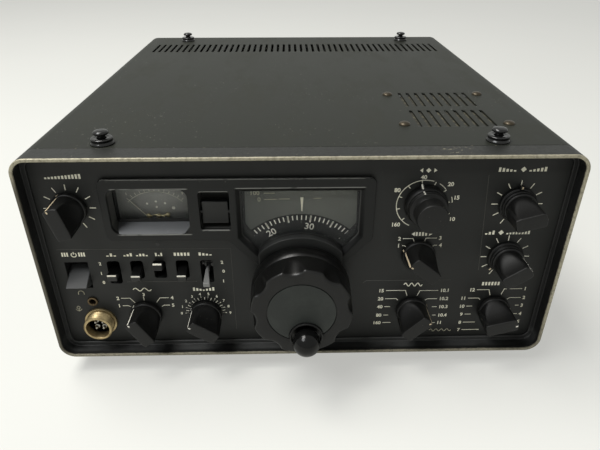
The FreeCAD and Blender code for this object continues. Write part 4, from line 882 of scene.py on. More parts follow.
def knob_radius(angle, y):
    """The flank's radius at an angle in degrees and a distance along the axis."""
    if y > TURNED:
        return BACK_RADIUS - SHOULDER + math.sqrt(SHOULDER ** 2 - max(0.0, -1.0 - y) ** 2)
    body = FRONT_RADIUS + (BACK_RADIUS - FRONT_RADIUS) * (y - FACE) / (BACK - FACE)
    centre = FRONT_RADIUS - CUT_DEPTH + CUT_RADIUS + CUT_DEPTH / CUT_LENGTH * (y - FACE)
    off = math.radians((angle - AXIS_ANGLE + 180.0 + 22.5) % 45.0 - 22.5)
    side = centre * math.sin(off)
    if abs(side) >= CUT_RADIUS:
        return body
    return blended_low(body, centre * math.cos(off) - math.sqrt(CUT_RADIUS ** 2 - side ** 2), CUT_BLEND)


print("radius at the face, on a land and in a scallop:",
      [round(knob_radius(AXIS_ANGLE + turn, FACE), 2) for turn in (22.5, 0.0)])

# %% Mesh of the main knob
ROUND_STEPS = 240


def main_knob_mesh():
    flank = [(BACK, 0.9), (BACK - 0.25, 0.3)]
    flank += [(BACK - 0.9 - k * (BACK - 0.9 - TURNED) / 12, 0.0) for k in range(12)]
    flank += [(TURNED + 0.05, 0.0), (TURNED - 0.05, 1.2), (TURNED - 0.15, 0.6), (TURNED - 0.4, 0.2)]
    flank += [(TURNED - 0.8 - k * (TURNED - 0.8 - FACE - 1.2) / 10, 0.0) for k in range(11)]
    flank += [(FACE + 1.2 * (1 - math.sin(t)), 1.2 * (1 - math.cos(t)))
              for t in map(math.radians, (15, 30, 45, 60, 75, 90))]
    flank.append((FACE - 0.02, 1.8))
    face = [(18.5, FACE), (18.12, FACE + 0.15), (18.08, FACE + 0.8), (0.0, FACE + 0.8)]
    hollow = [(21.5, BACK), (21.3, BACK - 11.0), (8.2, BACK - 11.0), (8.0, BACK), (0.0, BACK)]
    work = bmesh.new()
    centre = (DIAL_X, DIAL_Z)
    outside = [ring_of(work, centre, y, lambda angle: knob_radius(angle, y) - inset, ROUND_STEPS)
               for y, inset in flank]
    outside += [ring_of(work, centre, y, radius, ROUND_STEPS) for radius, y in face]
    inside = [ring_of(work, centre, y, radius, ROUND_STEPS) for radius, y in hollow]
    skin(work, inside[::-1] + outside)
    return finished(work, "main_knob")


BALL_X, BALL_Z = polar(DIAL_X, DIAL_Z, 15.4, AXIS_ANGLE)
BALL_Y, BALL_RADIUS = FACE - 4.9, 7.3
seat_hole = lathe([(0, FACE - 3), (8.7, FACE - 3), (8.7, FACE + 3.0), (0, FACE + 3.0)], (BALL_X, BALL_Z))
knob = piece("main_knob", softened(without(main_knob_mesh(), seat_hole), 40.0), main_plastic, "tuning",
             "knob_plastic", "tuning_knob")
print("main knob", len(knob.data.polygons), "faces, ball at", round(BALL_X, 2), round(BALL_Z, 2))

# %% Inlay, ball seat and ball
piece("knob_disc", dressed("knob_inlay", 0.15, 2), inlay, "tuning", "inlay", "knob_inlay")
seat = rounded([(0, FACE + 1.6), (7.9, FACE + 1.6), (7.9, FACE - 1.0), (8.8, FACE - 1.0), (8.8, FACE + 3.0),
                (0, FACE + 3.0)], 0.3)
piece("ball_seat", lathe(seat, (BALL_X, BALL_Z)), main_plastic, "tuning", "knob_plastic")
ball = [(BALL_RADIUS * math.sin(t), BALL_Y - BALL_RADIUS * math.cos(t))
        for t in map(math.radians, range(0, 140, 4))]
ball += [(3.0, FACE + 1.3), (2.2, FACE + 1.5), (2.2, FACE + 9.6), (0, FACE + 9.6)]
piece("finger_ball", lathe(ball, (BALL_X, BALL_Z), steps=64), ball_plastic, "spinner", "knob_plastic",
      "spinner_knob")

# %% [markdown]
# ## Bar knobs, rings and the round knob
# A bar grip's radius is again a rule of angle and depth: a round body, two
# scooped flanks and a blunt tail.  Each grip carries an index line along its
# flank.  The outer rings of the two pairs are stepped, with a small pointer,
# and the round knob is a stack of turned steps.

# %% Shape of a bar grip
SCOOP_START, SCOOP_RADIUS, SCOOP_BLEND = 0.6, 22.0, 1.2
TAIL_REACH, TAIL_BLEND = 0.6, 3.0
BAR_HALF, BAR_EDGE = 3.8, 0.55


def grip_radius(angle, depth, radius, inset):
    """A bar grip's radius at an angle and a depth behind its face, less an inset of its edge."""
    turn = math.radians(angle)
    along, side = abs(math.cos(turn)), max(abs(math.sin(turn)), 1e-4)
    outline = radius - inset
    if math.cos(turn) < 0:
        tail = blended_low((radius + TAIL_REACH - inset) / max(along, 1e-4),
                           (BAR_HALF - inset) / side, TAIL_BLEND)
        outline = max(outline, tail)
    into = max(0.0, depth - SCOOP_START)
    if into < SCOOP_RADIUS:
        width = BAR_HALF + SCOOP_RADIUS - math.sqrt(SCOOP_RADIUS ** 2 - into ** 2)
        outline = blended_low(outline, (width - inset) / side, SCOOP_BLEND)
    return outline


# %% Mesh of a bar grip with its skirt and shaft
def bar_grip(x, z, angle, radius, front, skirt, shaft, shaft_end):
    back = skirt[0][1]
    rows = [(front, 2.0)]
    rows += [(front + BAR_EDGE * (1 - math.cos(t)), BAR_EDGE * (1 - math.sin(t)))
             for t in map(math.radians, (0, 22.5, 45, 67.5, 90))]
    rows += [(front + 1.4 + k, 0.0) for k in range(13) if front + 1.4 + k < back - 0.1] + [(back, 0.0)]
    work = bmesh.new()
    rings = [ring_of(work, (x, z), front, 0.0, ROUND_STEPS)]
    rings += [ring_of(work, (x, z), y, lambda a: grip_radius(a, y - front, radius, inset), ROUND_STEPS,
                      start=angle) for y, inset in rows]
    rings += [ring_of(work, (x, z), y, r, ROUND_STEPS, start=angle)
              for r, y in skirt + [(shaft, skirt[-1][1]), (shaft, shaft_end), (0.0, shaft_end)]]
    skin(work, rings)
    return softened(finished(work, "grip"), 40.0)


# %% Bar knobs with their index lines
def index_line(x, z, angle, radius, front, back, width=0.75):
    """A painted line along the flank, at an angle."""
    line = box_mesh(x + radius - 0.16, x + radius + 0.04, front, back, z - width / 2, z + width / 2)
    return spun(line, x, z, angle)


SKIRT = [(8.5, 5.4), (8.8, 5.5), (9.05, 5.75), (9.2, 6.1), (9.2, 7.9), (8.9, 8.2)]
BARS = {    # place, angle of the bar, angle of the painted line, its paint
    "vox": (-119.0, 93.3, 105.0, 116.0, index_pale), "mode": (-89.5, 24.15, 121.0, 131.0, white_paint),
    "reject": (-55.3, 24.2, 146.0, 151.0, white_paint), "select": (63.4, 63.0, 141.0, 158.0, index_pale),
    "band": (63.8, 24.8, 45.0, 30.0, index_pale), "channel": (111.4, 24.8, 15.0, 10.0, white_paint),
}
for name, (x, z, angle, line_angle, tone) in BARS.items():
    grip = bar_grip(x, z, angle, 8.5, -9.0, SKIRT, 3.0, 34.5)
    piece(name + "_grip", grip, single_plastic, name, "knob_plastic", name + "_knob")
    on_face = box_mesh(x + 6.9, x + 8.1, -9.04, -8.9, z - 0.35, z + 0.35)
    paint = joined([index_line(x, z, line_angle, 8.5, -8.5, 5.0, 0.95),
                    index_line(x, z, line_angle, 9.2, 6.0, 7.9, 0.8), spun(on_face, x, z, line_angle)])
    piece(name + "_index", paint, tone, name, "knob_plastic")
print(len(BARS), "single bar knobs")

# %% Concentric pairs
RING_STEPS = rounded([(3.4, 2.62), (8.1, 2.6), (8.6, 3.1), (8.7, 4.3), (8.35, 4.5), (8.35, 4.8), (8.8, 5.0),
                      (9.1, 6.2), (8.75, 6.4), (8.75, 6.7), (9.3, 6.9), (9.6, 7.2), (9.6, 8.2), (3.4, 8.2)], 0.2, 3)
PAIRS = (   # inner body and node, outer body and node, place, angle of the bar, angle of the ring
    ("drive", "drive_knob", "clarifier", "clarifier_ring", 111.9, 93.3, 16.0, 90.0),
    ("af_gain", "af_knob", "rf_gain", "rf_ring", 111.7, 60.8, 35.0, 220.0),
)
for inner, node, outer, ring_node, x, z, bar_angle, ring_angle in PAIRS:
    grip = bar_grip(x, z, bar_angle, 7.4, -12.0, [(7.0, 2.1)], 1.5, 45.0)
    piece(inner + "_grip", grip, pair_plastic, inner, "knob_plastic", node)
    piece(inner + "_index", index_line(x, z, bar_angle, 7.4, -11.5, 1.6, 0.8), white_paint, inner, "knob_plastic")
    lug = spun(box_mesh(x + 8.6, x + 11.0, 6.4, 8.15, z - 1.1, z + 1.1), x, z, ring_angle)
    hollow_shaft = lathe([(1.6, 2.7), (3.0, 2.7), (3.0, 34.4), (1.6, 34.4)], (x, z), steps=32)
    ring = joined([lathe(RING_STEPS, (x, z)), softened(bevelled(lug, 0.3)), hollow_shaft])
    piece(outer + "_skirt", ring, ring_plastic, outer, "knob_plastic", ring_node)
    paint = spun(box_mesh(x + 9.6, x + 10.9, 6.3, 6.5, z - 0.35, z + 0.35), x, z, ring_angle)
    piece(outer + "_index", paint, index_pale, outer, "knob_plastic")
print(len(PAIRS), "concentric pairs")

# %% The round knob
TUNE = (64.1, 93.5)
TUNE_ANGLE = 107.0
tune_x, tune_z = TUNE
cap = rounded([(0, -8.0), (7.75, -8.0), (8.0, -7.2), (8.1, -0.9), (7.9, -0.7), (7.9, -0.3), (8.1, -0.1),
               (8.15, 0.5), (7.95, 0.7), (7.95, 1.0), (8.6, 1.3), (9.8, 1.6), (9.9, 2.4),
               (9.6, 2.7), (9.6, 3.1), (9.95, 3.4), (10.0, 4.6), (10.5, 5.0), (11.1, 6.1), (11.2, 7.4),
               (11.2, 8.2), (0, 8.2)], 0.35)
stem = lathe([(0, 8.0), (3.0, 8.0), (3.0, 34.5), (0, 34.5)], TUNE, steps=32)
corners = [(tune_x + 9.6, tune_z - 2.1), (tune_x + 13.7, tune_z), (tune_x + 9.6, tune_z + 2.1)]
lug = spun(plates([corners], 6.15, 8.15), *TUNE, TUNE_ANGLE)
piece("preselector_grip", joined([lathe(cap, TUNE), lug, stem]), round_plastic, "preselector",
      "knob_plastic", "preselector_knob")
on_lug = box_mesh(tune_x + 11.0, tune_x + 13.5, 6.06, 6.18, tune_z - 0.42, tune_z + 0.42)
paint = [index_line(*TUNE, TUNE_ANGLE, *step) for step in ((9.9, 1.7, 2.6), (10.0, 3.3, 4.8), (11.1, 5.4, 7.4))]
paint.append(spun(on_lug, *TUNE, TUNE_ANGLE))
piece("preselector_index", joined(paint), white_paint, "preselector", "knob_plastic")

# %% [markdown]
# ## Levers and rockers
# Four black levers sit in pockets and show a white bar on the tip.  The fifth
# is a slim pale bat that widens to its end.  The power rocker has a dull grey
# face that leans out at the bottom, and the meter switch a shallow finger hollow.

# %% Levers
def tipped(mesh, z, turn):
    """Tilt a mesh about a lever's cross pin, as the lever itself rests."""
    pivot = at(0, 18.5, z)
    mesh.transform(Matrix.Translation(pivot) @ Matrix.Rotation(math.radians(-turn), 4, "X")
                   @ Matrix.Translation(-pivot))
    return mesh


LEVERS = {"agc": (-102.9, 53.1, 0.0), "processor": (-90.2, 54.8, -9.0), "blanker": (-77.9, 54.8, 18.0),
          "marker": (-65.5, 54.8, -9.0)}
for name, (x, z, turn) in LEVERS.items():
    node = name + "_lever"
    piece(name + "_tab", dressed(node, 0.5), lever_black, name, "lever_plastic", node)
    bar = tipped(box_mesh(x - 2.35, x + 2.35, 3.33, 3.44, z + 1.15, z + 2.1), z, turn)
    piece(name + "_bar", bar, white_paint, name, "lever_plastic")
bat = dressed("clarifier_lever", 0.45)
for vertex in bat.vertices:
    vertex.co.x += max(0.0, at(0, PANEL, 0).y - vertex.co.y) * 0.10
piece("clarifier_bat", bat, bat_grey, "clarifier_switch", "bat_plastic", "clarifier_lever")
piece("power_paddle", dressed("power_rocker", 0.5), rocker_grey, "power_switch", "rocker_plastic", "power_rocker")

# %% The meter switch: a block with a hollow front, on its pin
ROCKER_Z, ROCKER_HALF, ROCKER_FRONT, ROCKER_BACK, HOLLOW = 90.5, 6.25, 7.8, 12.0, 0.9
hollow_radius = (ROCKER_HALF ** 2 + HOLLOW ** 2) / (2 * HOLLOW)
rises = [ROCKER_HALF * (k / 6 - 1) for k in range(13)]
section = [(ROCKER_FRONT + HOLLOW - hollow_radius + math.sqrt(hollow_radius ** 2 - z ** 2), ROCKER_Z + z)
           for z in rises]
section += [(ROCKER_BACK, ROCKER_Z + ROCKER_HALF), (ROCKER_BACK, ROCKER_Z - ROCKER_HALF)]
block = bevelled(rail(section, -51.7, -38.0), 0.45, limit_method="ANGLE", angle_limit=math.radians(40),
                 use_clamp_overlap=False)
axle = lathe([(0, -53.6), (1.2, -53.6), (1.2, -36.1), (0, -36.1)], (9.9, ROCKER_Z), "x", 24)
piece("meter_paddle", softened(joined([block, axle]), 40.0), pocket_grey, "meter_switch", "rocker_plastic",
      "meter_rocker")
print(len(LEVERS) + 1, "levers and 2 rockers")

# %% [markdown]
# ## Sockets on the front
# The microphone socket is turned brass with a fine outer thread, worn to its
# base metal, round a black insert with four pins.  The phones jack shows a
# small round nut.

# %% Microphone socket and phones jack
MIC, PHONES = (-116.2, 19.4), (-118.5, 33.8)
threads = [(7.95 - 0.28 * (k % 2), 2.1 + 0.32 * k) for k in range(17)]
mic = [(6.3, 6.9), (6.35, 2.0), (6.6, 1.55), (7.4, 1.5), (7.9, 1.9)] + threads
mic += [(8.0, 7.6), (9.0, 7.7), (9.2, 8.0), (9.2, 9.0), (8.0, 9.0), (8.0, 19.5), (6.3, 19.5), (6.3, 6.9)]
piece("mic_shell", lathe(mic, MIC, steps=96), brass, "case", "mic_brass", "mic_socket")
insert = rounded([(0, 7.0), (2.0, 7.0), (5.6, 7.0), (6.3, 7.4), (6.3, 19.5), (0, 19.5)], 0.3)
piece("mic_block", lathe(insert, MIC), insert_black, "case", "insert_black", "mic_insert")
pins = []
for k in range(4):
    spot = polar(*MIC, 2.9, 45 + 90 * k)
    pins.append(lathe([(0, 4.6), (0.5, 4.7), (0.8, 5.1), (0.8, 7.5), (0, 7.5)], spot, steps=24))
    pins.append(lathe([(0, 6.5), (1.1, 6.5), (1.5, 6.7), (1.5, 7.4), (0, 7.4)], spot, steps=24))
piece("mic_pins", joined(pins), pin_metal, "case", "mic_brass")
jack = rounded([(1.75, 14.0), (1.75, 8.3), (2.0, 8.0), (2.75, 8.0), (2.9, 8.3), (2.9, 9.0), (2.4, 9.0),
                (2.4, 11.5), (4.5, 11.5), (4.5, 22.5), (1.75, 22.5), (1.75, 14.0)], 0.12)
piece("phones_nut", lathe(jack, PHONES, steps=48), old_brass, "case", "plated", "phones_jack")
print("microphone socket with", len(pins) // 2, "pins")

# %% [markdown]
# ## Dial and meter
# The black disc turns behind a grey mask.  Its hundred divisions are marks of
# one ring, every fifth one longer, with plain numbers at each tenth.  The mask
# carries the pointer.  The meter has an arc scale, dots and plain numbers.

# %% Disc scale, riding on the main knob's body
DISC_ZERO, DISC_STEP = 189.8, 3.6
LIFT = 0.03     # how far print stands off its surface
ink_y = DISC_FRONT - LIFT
disc_print = [marks(DIAL_X, ink_y, DIAL_Z, DISC_ZERO, -DISC_STEP, 100, 36.9, 39.6, 0.60, dial_ink),
              marks(DIAL_X, ink_y, DIAL_Z, DISC_ZERO, -DISC_STEP * 5, 20, 35.8, 39.9, 0.88, dial_ink)]
for n in range(0, 100, 10):
    angle = DISC_ZERO - DISC_STEP * n
    x, z = polar(DIAL_X, DIAL_Z, 33.35, angle)
    disc_print.append(number(str(n), x, ink_y, z, 3.7, angle - 90, dial_ink))
piece("disc_scale", joined(disc_print), None, "tuning", "dial_black")

# %% Pointer and marks on the mask
mask_y = MASK_FRONT - LIFT
top, tip = 97.0, 88.9
wedge = plates([[(-0.8, top), (0.8, top), (0.2, tip), (-0.2, tip)]], mask_y - 0.05, mask_y + LIFT, cream)
strokes = [[(-12, 96.2), (-6.2, 96.2)], [(6, 96.4), (10, 96.4)], [(-19.6, 99.6), (-14, 99.6)],
           [(-19.6, 96.0), (-13, 96.0)]]
mask_print = [wedge, lines(strokes, mask_y, 0.5, dull_cream),
              number("100", -24.4, mask_y, 99.8, 2.4, 0, dull_cream),
              number("0", -22.2, mask_y, 96.0, 2.4, 0, dull_cream)]
piece("mask_marks", joined(mask_print), None, "case", "mask_grey")
for side, outline in {
    "left": [(-36.0, 107.0), (-29.4, 107.0), (-29.8, 82.0), (-25.5, 75.2), (-25.5, 66.0), (-36.0, 66.0)],
    "right": [(34.4, 107.0), (28.4, 107.0), (29.0, 82.0), (24.6, 76.2), (17.5, 69.0), (17.5, 64.0), (34.4, 64.0)],
}.items():
    piece("mask_corner_" + side, plates([outline], 11.42, 11.49), dial_black, "case", "dial_black")
print("meshes printed on the mask:", len(mask_print))

# %% Meter scale
face_y = METER_FACE - LIFT
scale = [marks(METER_X, face_y, NEEDLE_Z, 47, 7.1, 13, 20.6, 22.2, 0.28, meter_ink),
         lines([arc(METER_X, NEEDLE_Z, 20.3, 44, 136)], face_y, 0.28, meter_ink)]
for x, z, size in ((-83.1, 88.95, 0.62), (-78.3, 90.2, 0.62), (-73.5, 89.1, 0.62), (-78.2, 86.9, 0.62),
                   (-69.2, 86.2, 0.9)):
    scale.append(plates([arc(x, z, size, 0, 345, 15)], face_y - LIFT, face_y + LIFT, dial_ink))
for k in range(5):
    x, z = polar(METER_X, NEEDLE_Z, 24.2, 128 - 19 * k)
    scale.append(number(str(k * 2 + 1), x, face_y, z, 1.5, 0, meter_ink))
piece("meter_print", joined(scale), None, "case", "meter_face")

# %% Fittings in front of the meter's face, and its lit floor
stud = rounded([(0, 20.3), (0.9, 20.3), (1.2, 20.7), (1.2, 21.8), (0, 21.8)], 0.2)
bits = [lathe(stud, spot, steps=24) for spot in ((-83.1, 81.9), (-77.7, 81.7), (-72.6, 82.3))]
bits.append(lines([arc(METER_X, NEEDLE_Z, 6.6, 52, 128, 10)], 21.2, 0.7, pale_brass))
bits.append(lines([[(-83.1, 81.9), (-80.8, 81.6)], [(-76.6, 81.6), (-72.6, 82.2)]], 21.3, 0.9, pale_brass))
piece("meter_fittings", joined(bits), pale_brass, "case", "mic_brass")
# The floor's pale grey is painted light and reflection of the clear shelf under the meter's face.
shelf = rail([(6.9, 78.95), (16.5, 80.9), (16.5, 80.3), (6.9, 78.35)], -98.2, -59.0)
piece("meter_floor", softened(bevelled(shelf, 0.15, 2)), well_floor, "case", "bezel_plastic")
strip = plates([[(-97.5, 80.6), (-59.3, 80.6), (-59.3, 82.7), (-97.5, 82.7)]], 16.2, 16.44)
piece("meter_strip", strip, dark_moulding, "case", "bezel_plastic")
coat_nodes(dial_disc=dial_black, dial_mask=mask_grey, meter_scale=meter_face, meter_case=dark_moulding,
           meter_needle=needle_paint, window_panes=pane)
print("meter scale and", len(bits), "fittings")

# %% [markdown]
# ## Print on the panel
# All legends are plain: marks, leader lines, numbers and simple signs.  Where
# the real panel has words, a sign of about the same length stands in its place,
# such as a rising wedge for a level, waves for a band, or a power symbol.

# %% Scales round the knobs
INK = PANEL - LIFT
print_parts = []


def label(text, x, z, height=2.2, bold=0.04, align="CENTER"):
    print_parts.append(number(text, x, INK, z, height, bold=bold, align=align))


for x, z in ((-119.0, 93.3), (111.9, 93.3), (111.7, 60.8)):
    print_parts.append(marks(x, INK, z, 240, -30, 11, 10.2, 13.4, 0.46))
print_parts.append(marks(-55.3, INK, 24.2, 180, -10, 19, 9.6, 11.3, 0.36))
print_parts.append(marks(-55.3, INK, 24.2, 180, -20, 10, 9.6, 11.9, 0.40))
for k in range(10):
    turn = math.radians(180 - 20 * k)
    label(str(k), -55.3 + 14.0 * math.cos(turn), 24.2 + 13.7 * math.sin(turn), 1.7, 0.03)
arcs = [arc(62.7, 93.5, 13.8, 244, 72, 40), arc(62.7, 93.5, 13.8, 58, 38, 6), arc(64.0, 93.5, 13.8, 18, 4, 5),
        arc(64.1, 93.5, 14.1, -22, -34, 4)]
print_parts += [lines(arcs, INK, 0.48), marks(62.7, INK, 93.5, 222, -31, 8, 12.0, 13.8, 0.42)]
for text, x, z in (("160", 49.5, 81.7), ("80", 48.7, 101.9), ("40", 61.5, 109.0), ("20", 75.7, 105.0),
                   ("15", 79.7, 97.3), ("10", 79.1, 84.7)):
    label(text, x, z)
print("scales:", len(print_parts), "parts")

# %% Leader lines and numbers
def table(side, *rows):
    """Leader lines with a number at the outer end of each: (text, z, outer, inner, knee)."""
    align, way = ("RIGHT", -1.1) if side == "left" else ("LEFT", 1.1)
    for text, z, outer, inner, *knee in rows:
        paths.append([(outer, z), (inner, z), *knee])
        label(text, outer + way, z, align=align)


paths = [[(-89.6, 33.9), (-89.6, 36.3)]]
for text, angle, bend, end in (("1", 148, 12.0, -102.3), ("2", 126, 14.4, -102.3), ("4", 54, 14.4, -75.5),
                               ("5", 32, 12.0, -75.5)):
    knee = polar(-88.9, 23.8, bend, angle)
    paths.append([polar(-88.9, 23.8, 10.4, angle), knee, (end, knee[1])])
    align, way = ("RIGHT", -1.1) if end < -88.9 else ("LEFT", 1.1)
    label(text, end + way, knee[1], align=align)
label("3", -89.3, 37.9, 2.0)
table("left", ("1", 68.5, 54.2, 55.4, (57.1, 66.9)), ("2", 72.9, 54.3, 59.7, (61.2, 69.4)))
table("right", ("3", 73.1, 72.6, 66.7, (65.8, 69.6)), ("4", 68.6, 73.2, 71.8, (70.1, 67.1)))
table("left", ("15", 38.5, 47.9, 59.0, (60.3, 34.7)), ("20", 32.75, 47.9, 54.2, (55.2, 31.7)),
      ("40", 27.0, 47.9, 51.2), ("80", 20.8, 47.7, 50.6), ("160", 15.2, 47.7, 52.4))
table("right", ("10.1", 38.2, 77.8, 67.4, (66.1, 34.7)), ("10.2", 32.35, 77.9, 72.4, (71.0, 31.4)),
      ("10.3", 26.5, 78.4, 75.7), ("10.4", 20.3, 78.6, 76.5), ("11", 14.7, 78.7, 76.6))
table("left", ("12", 38.3, 100.0, 107.0, (108.2, 34.4)), ("11", 32.4, 95.8, 101.9, (103.0, 31.2)),
      ("10", 26.6, 95.8, 99.1), ("9", 20.7, 95.6, 99.2), ("8", 14.65, 95.6, 102.6), ("7", 8.95, 95.6, 105.9))
table("right", ("1", 38.7, 125.9, 115.7, (114.6, 34.7)), ("2", 32.4, 126.4, 120.0, (118.6, 31.2)),
      ("3", 26.8, 126.3, 124.2), ("4", 20.6, 126.6, 124.6), ("5", 14.7, 126.6, 124.0))
print_parts.append(lines(paths, INK, 0.44))
print(len(paths), "leader lines")

# %% Signs in place of words
BAR_PITCH, BAR_SHARE, BAR_LEAST = 1.75, 0.62, 0.35
PROFILES = {"rise": lambda t: t, "fall": lambda t: 1 - t, "hill": lambda t: 1 - abs(2 * t - 1),
            "dip": lambda t: abs(2 * t - 1), "even": lambda t: 1.0}


def bars(x0, x1, z, height, shape="rise"):
    """A row of solid bars over the length of a word, with tops that follow a profile."""
    count = max(3, round((x1 - x0) / BAR_PITCH))
    pitch = (x1 - x0) / count
    made = []
    for k in range(count):
        left, right = x0 + k * pitch, x0 + (k + BAR_SHARE) * pitch
        low = z - height / 2
        top = low + height * (BAR_LEAST + (1 - BAR_LEAST) * PROFILES[shape](k / (count - 1)))
        made.append([(left, low), (right, low), (right, top), (left, top)])
    return made


def diamond(x, z, size):
    return [[(x - size, z), (x, z - size), (x + size, z), (x, z + size)]]


def arrow(x, z, size, way):
    return [[(x, z - size), (x + way * size * 1.3, z), (x, z + size)]]


def waves(x, z, width, height, turns):
    steps = 12 * turns
    return [(x + width * (k / steps - 0.5), z + height / 2 * math.sin(2 * math.pi * turns * k / steps))
            for k in range(steps + 1)]


solid = diamond(111.4, 112.8, 1.5) + diamond(106.8, 76.1, 1.5) + diamond(63.4, 112.7, 1.3)
solid += arrow(60.4, 75.7, 1.3, -1) + arrow(68.1, 75.7, 1.3, 1)
solid += arrow(60.6, 112.7, 1.2, -1) + arrow(66.2, 112.7, 1.2, 1)
for row in ((-128.0, -109.4, 111.0, 2.6), (98.8, 108.4, 112.8, 2.4, "fall"), (114.4, 123.9, 112.8, 2.4),
            (98.3, 104.0, 76.1, 2.4), (109.8, 123.0, 76.1, 2.4), (60.9, 67.6, 75.7, 2.3, "even"),
            (-129.4, -125.4, 65.1, 2.5, "even"), (-120.4, -116.4, 65.1, 2.5, "even"),
            (-105.6, -99.7, 64.6, 2.0, "hill"), (-96.4, -91.2, 64.6, 2.0, "rise"), (-89.6, -82.7, 64.6, 2.0, "hill"),
            (-79.4, -75.0, 64.6, 2.0, "dip"), (-69.3, -60.2, 64.6, 2.0, "even"), (-55.9, -48.2, 64.6, 2.0, "fall"),
            (-61.2, -48.6, 41.2, 2.3, "dip"), (102.3, 112.9, 42.5, 2.3, "even")):
    solid += bars(*row)
print_parts.append(plates(solid, INK - LIFT, INK + LIFT, cream))
signs = [waves(-89.6, 41.4, 10.2, 2.0, 2), waves(63.0, 42.5, 10.4, 2.1, 3),
         arc(-122.9, 64.9, 1.35, 125, 415, 14), [(-122.9, 65.2), (-122.9, 66.7)]]
print_parts.append(lines(signs, INK, 0.62))
quiet = [arc(-124.0, 39.4, 1.6, 0, 180, 10), [(-125.6, 39.4), (-125.6, 38.4)], [(-122.4, 39.4), (-122.4, 38.4)],
         waves(82.6, 9.0, 13.0, 1.6, 4), arc(-127.5, 29.3, 0.9, 0, 360, 10), [(-127.5, 28.2), (-127.5, 26.6)],
         arc(-127.5, 28.9, 1.8, 200, 340, 8)]
print_parts.append(lines(quiet, INK, 0.5, dull_cream))
for text, x, z in (("2", -109.9, 59.0), ("1", -110.3, 52.7), ("0", -110.0, 46.6), ("2", -43.7, 59.1),
                   ("0", -43.2, 53.2), ("1", -43.7, 46.6)):
    label(text, x, z, 1.9)
print("signs:", len(solid) + len(signs) + len(quiet))

# %% Group lines and the finished print
groups = [[(-131.4, 68.3), (-38.4, 68.0), (-38.4, 12.0)], [(-97.2, 46.8), (-58.5, 46.6)],
          [(34.6, 44.2), (36.2, 45.6), (84.0, 45.5)], [(94.3, 109.9), (98.6, 52.0)]]
print_parts.append(lines(groups, INK, 0.34, faint))
piece("panel_print", joined(print_parts), None, "case", "panel_paint")
hole = lathe([(0, 6.36), (0.75, 6.36), (0.95, 6.30), (0.95, 6.5), (0, 6.5)], (-76.6, 72.4), steps=24)
piece("meter_adjuster", hole, insert_black, "case", "insert_black")
print("printed strokes and numbers in one piece")

# %% [markdown]
# ## Top fittings
# The cover is held by four pull fasteners of glossy black plastic: a bowl-shaped
# grommet and a mushroom head that slides up.  The loudspeaker hangs under two
# rows of slots on four domed screws, and dusty woven cloth shows in the slots.

# %% Pull fasteners
HEAD_TOP = 131.16
bowl = rounded([(2.45, 119.0), (2.45, 127.1), (3.1, 127.1), (3.9, 127.35), (5.1, 127.3), (5.6, 126.9),
                (5.4, 126.2), (5.3, 125.6), (6.0, 124.7), (6.0, 124.0), (4.8, 124.0), (3.6, 123.9),
                (3.5, 118.9), (2.45, 119.0)], 0.3)
head = rounded([(0, HEAD_TOP), (1.6, 131.12), (3.3, 130.7), (3.9, 130.0), (3.85, 129.3), (3.4, 128.9),
                (2.2, 128.8), (1.98, 128.6), (1.98, 127.0), (2.0, 119.2), (0, 119.2)], 0.35)
bowls = []
for name, spot in {"front_left": (-100.0, 20.0), "front_right": (100.0, 20.0),
                   "rear_left": (-100.0, 288.5), "rear_right": (100.0, 288.5)}.items():
    bowls.append(lathe(bowl, spot, "z", 48))
    node = "plunger_" + name
    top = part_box(node)[1].z / MM - FOOT
    profile = [(radius, z + top - HEAD_TOP) for radius, z in head]
    piece("pull_head_" + name, lathe(profile, spot, "z", 48), fastener_black, node, "fastener_plastic", node)
piece("pull_bowls", joined(bowls), fastener_black, "case", "fastener_plastic", "cover_grommets")
print("fasteners:", len(bowls), "heads up to", round(top, 2), "mm")

# %% Screws, one pattern set on many points
SCREW_RADIUS, SCREW_HEIGHT = 3.2, 1.75
CROSS_LENGTH, CROSS_WIDTH, CROSS_DEPTH = 2.09, 0.462, 1.76


def screw_pattern():
    """A domed head with a cross recess, its underside on the plane z = 0."""
    profile = [(0, SCREW_HEIGHT)]
    profile += [(SCREW_RADIUS * math.sin(t), SCREW_HEIGHT * math.cos(t) ** 0.9)
                for t in map(math.radians, range(10, 90, 10))]
    profile += [(SCREW_RADIUS, 0.0), (SCREW_RADIUS * 0.98, -0.05), (0, -0.05)]
    dome = lathe(profile, (0, 0), "origin", 32)
    work = bmesh.new()
    for size in ((CROSS_LENGTH, CROSS_WIDTH, CROSS_DEPTH), (CROSS_WIDTH, CROSS_LENGTH, CROSS_DEPTH)):
        arm = bmesh.ops.create_cube(work, size=1.0)["verts"]
        place = Matrix.Translation((0, 0, SCREW_HEIGHT * MM)) @ Matrix.Diagonal((*[c * MM for c in size], 1.0))
        bmesh.ops.transform(work, matrix=place, verts=arm)
    return softened(without(dome, finished(work, "cross", outward=False)), 40.0)


def screw_tree():
    tree = Tree("screws_on_points", Turn=0.4)
    pattern = tree.node("GeometryNodeObjectInfo", {"Object": screw_source}, transform_space="ORIGINAL")
    spots = tree.node("GeometryNodeMeshToPoints", {"Mesh": tree.given["Geometry"]})
    normal = tree.node("GeometryNodeInputNamedAttribute", {"Name": "out"}, data_type="FLOAT_VECTOR")
    lean = tree.node("FunctionNodeAlignRotationToVector", {"Vector": normal.outputs["Attribute"]}, axis="Z")
    index = Value(tree, tree.node("GeometryNodeInputIndex").outputs[0])
    both = tree.node("FunctionNodeRotateRotation", {"Rotation": lean.outputs[0],
                                                    "Rotate By": tree.xyz(Z=index * tree.value("Turn"))},
                     rotation_space="LOCAL")
    copies = tree.node("GeometryNodeInstanceOnPoints", {
        "Points": spots.outputs[0], "Instance": pattern.outputs["Geometry"], "Rotation": both.outputs[0]})
    return tree.end(copies.outputs[0])


screw_source = shown("screw_source", screw_pattern())
screw_maker = screw_tree()


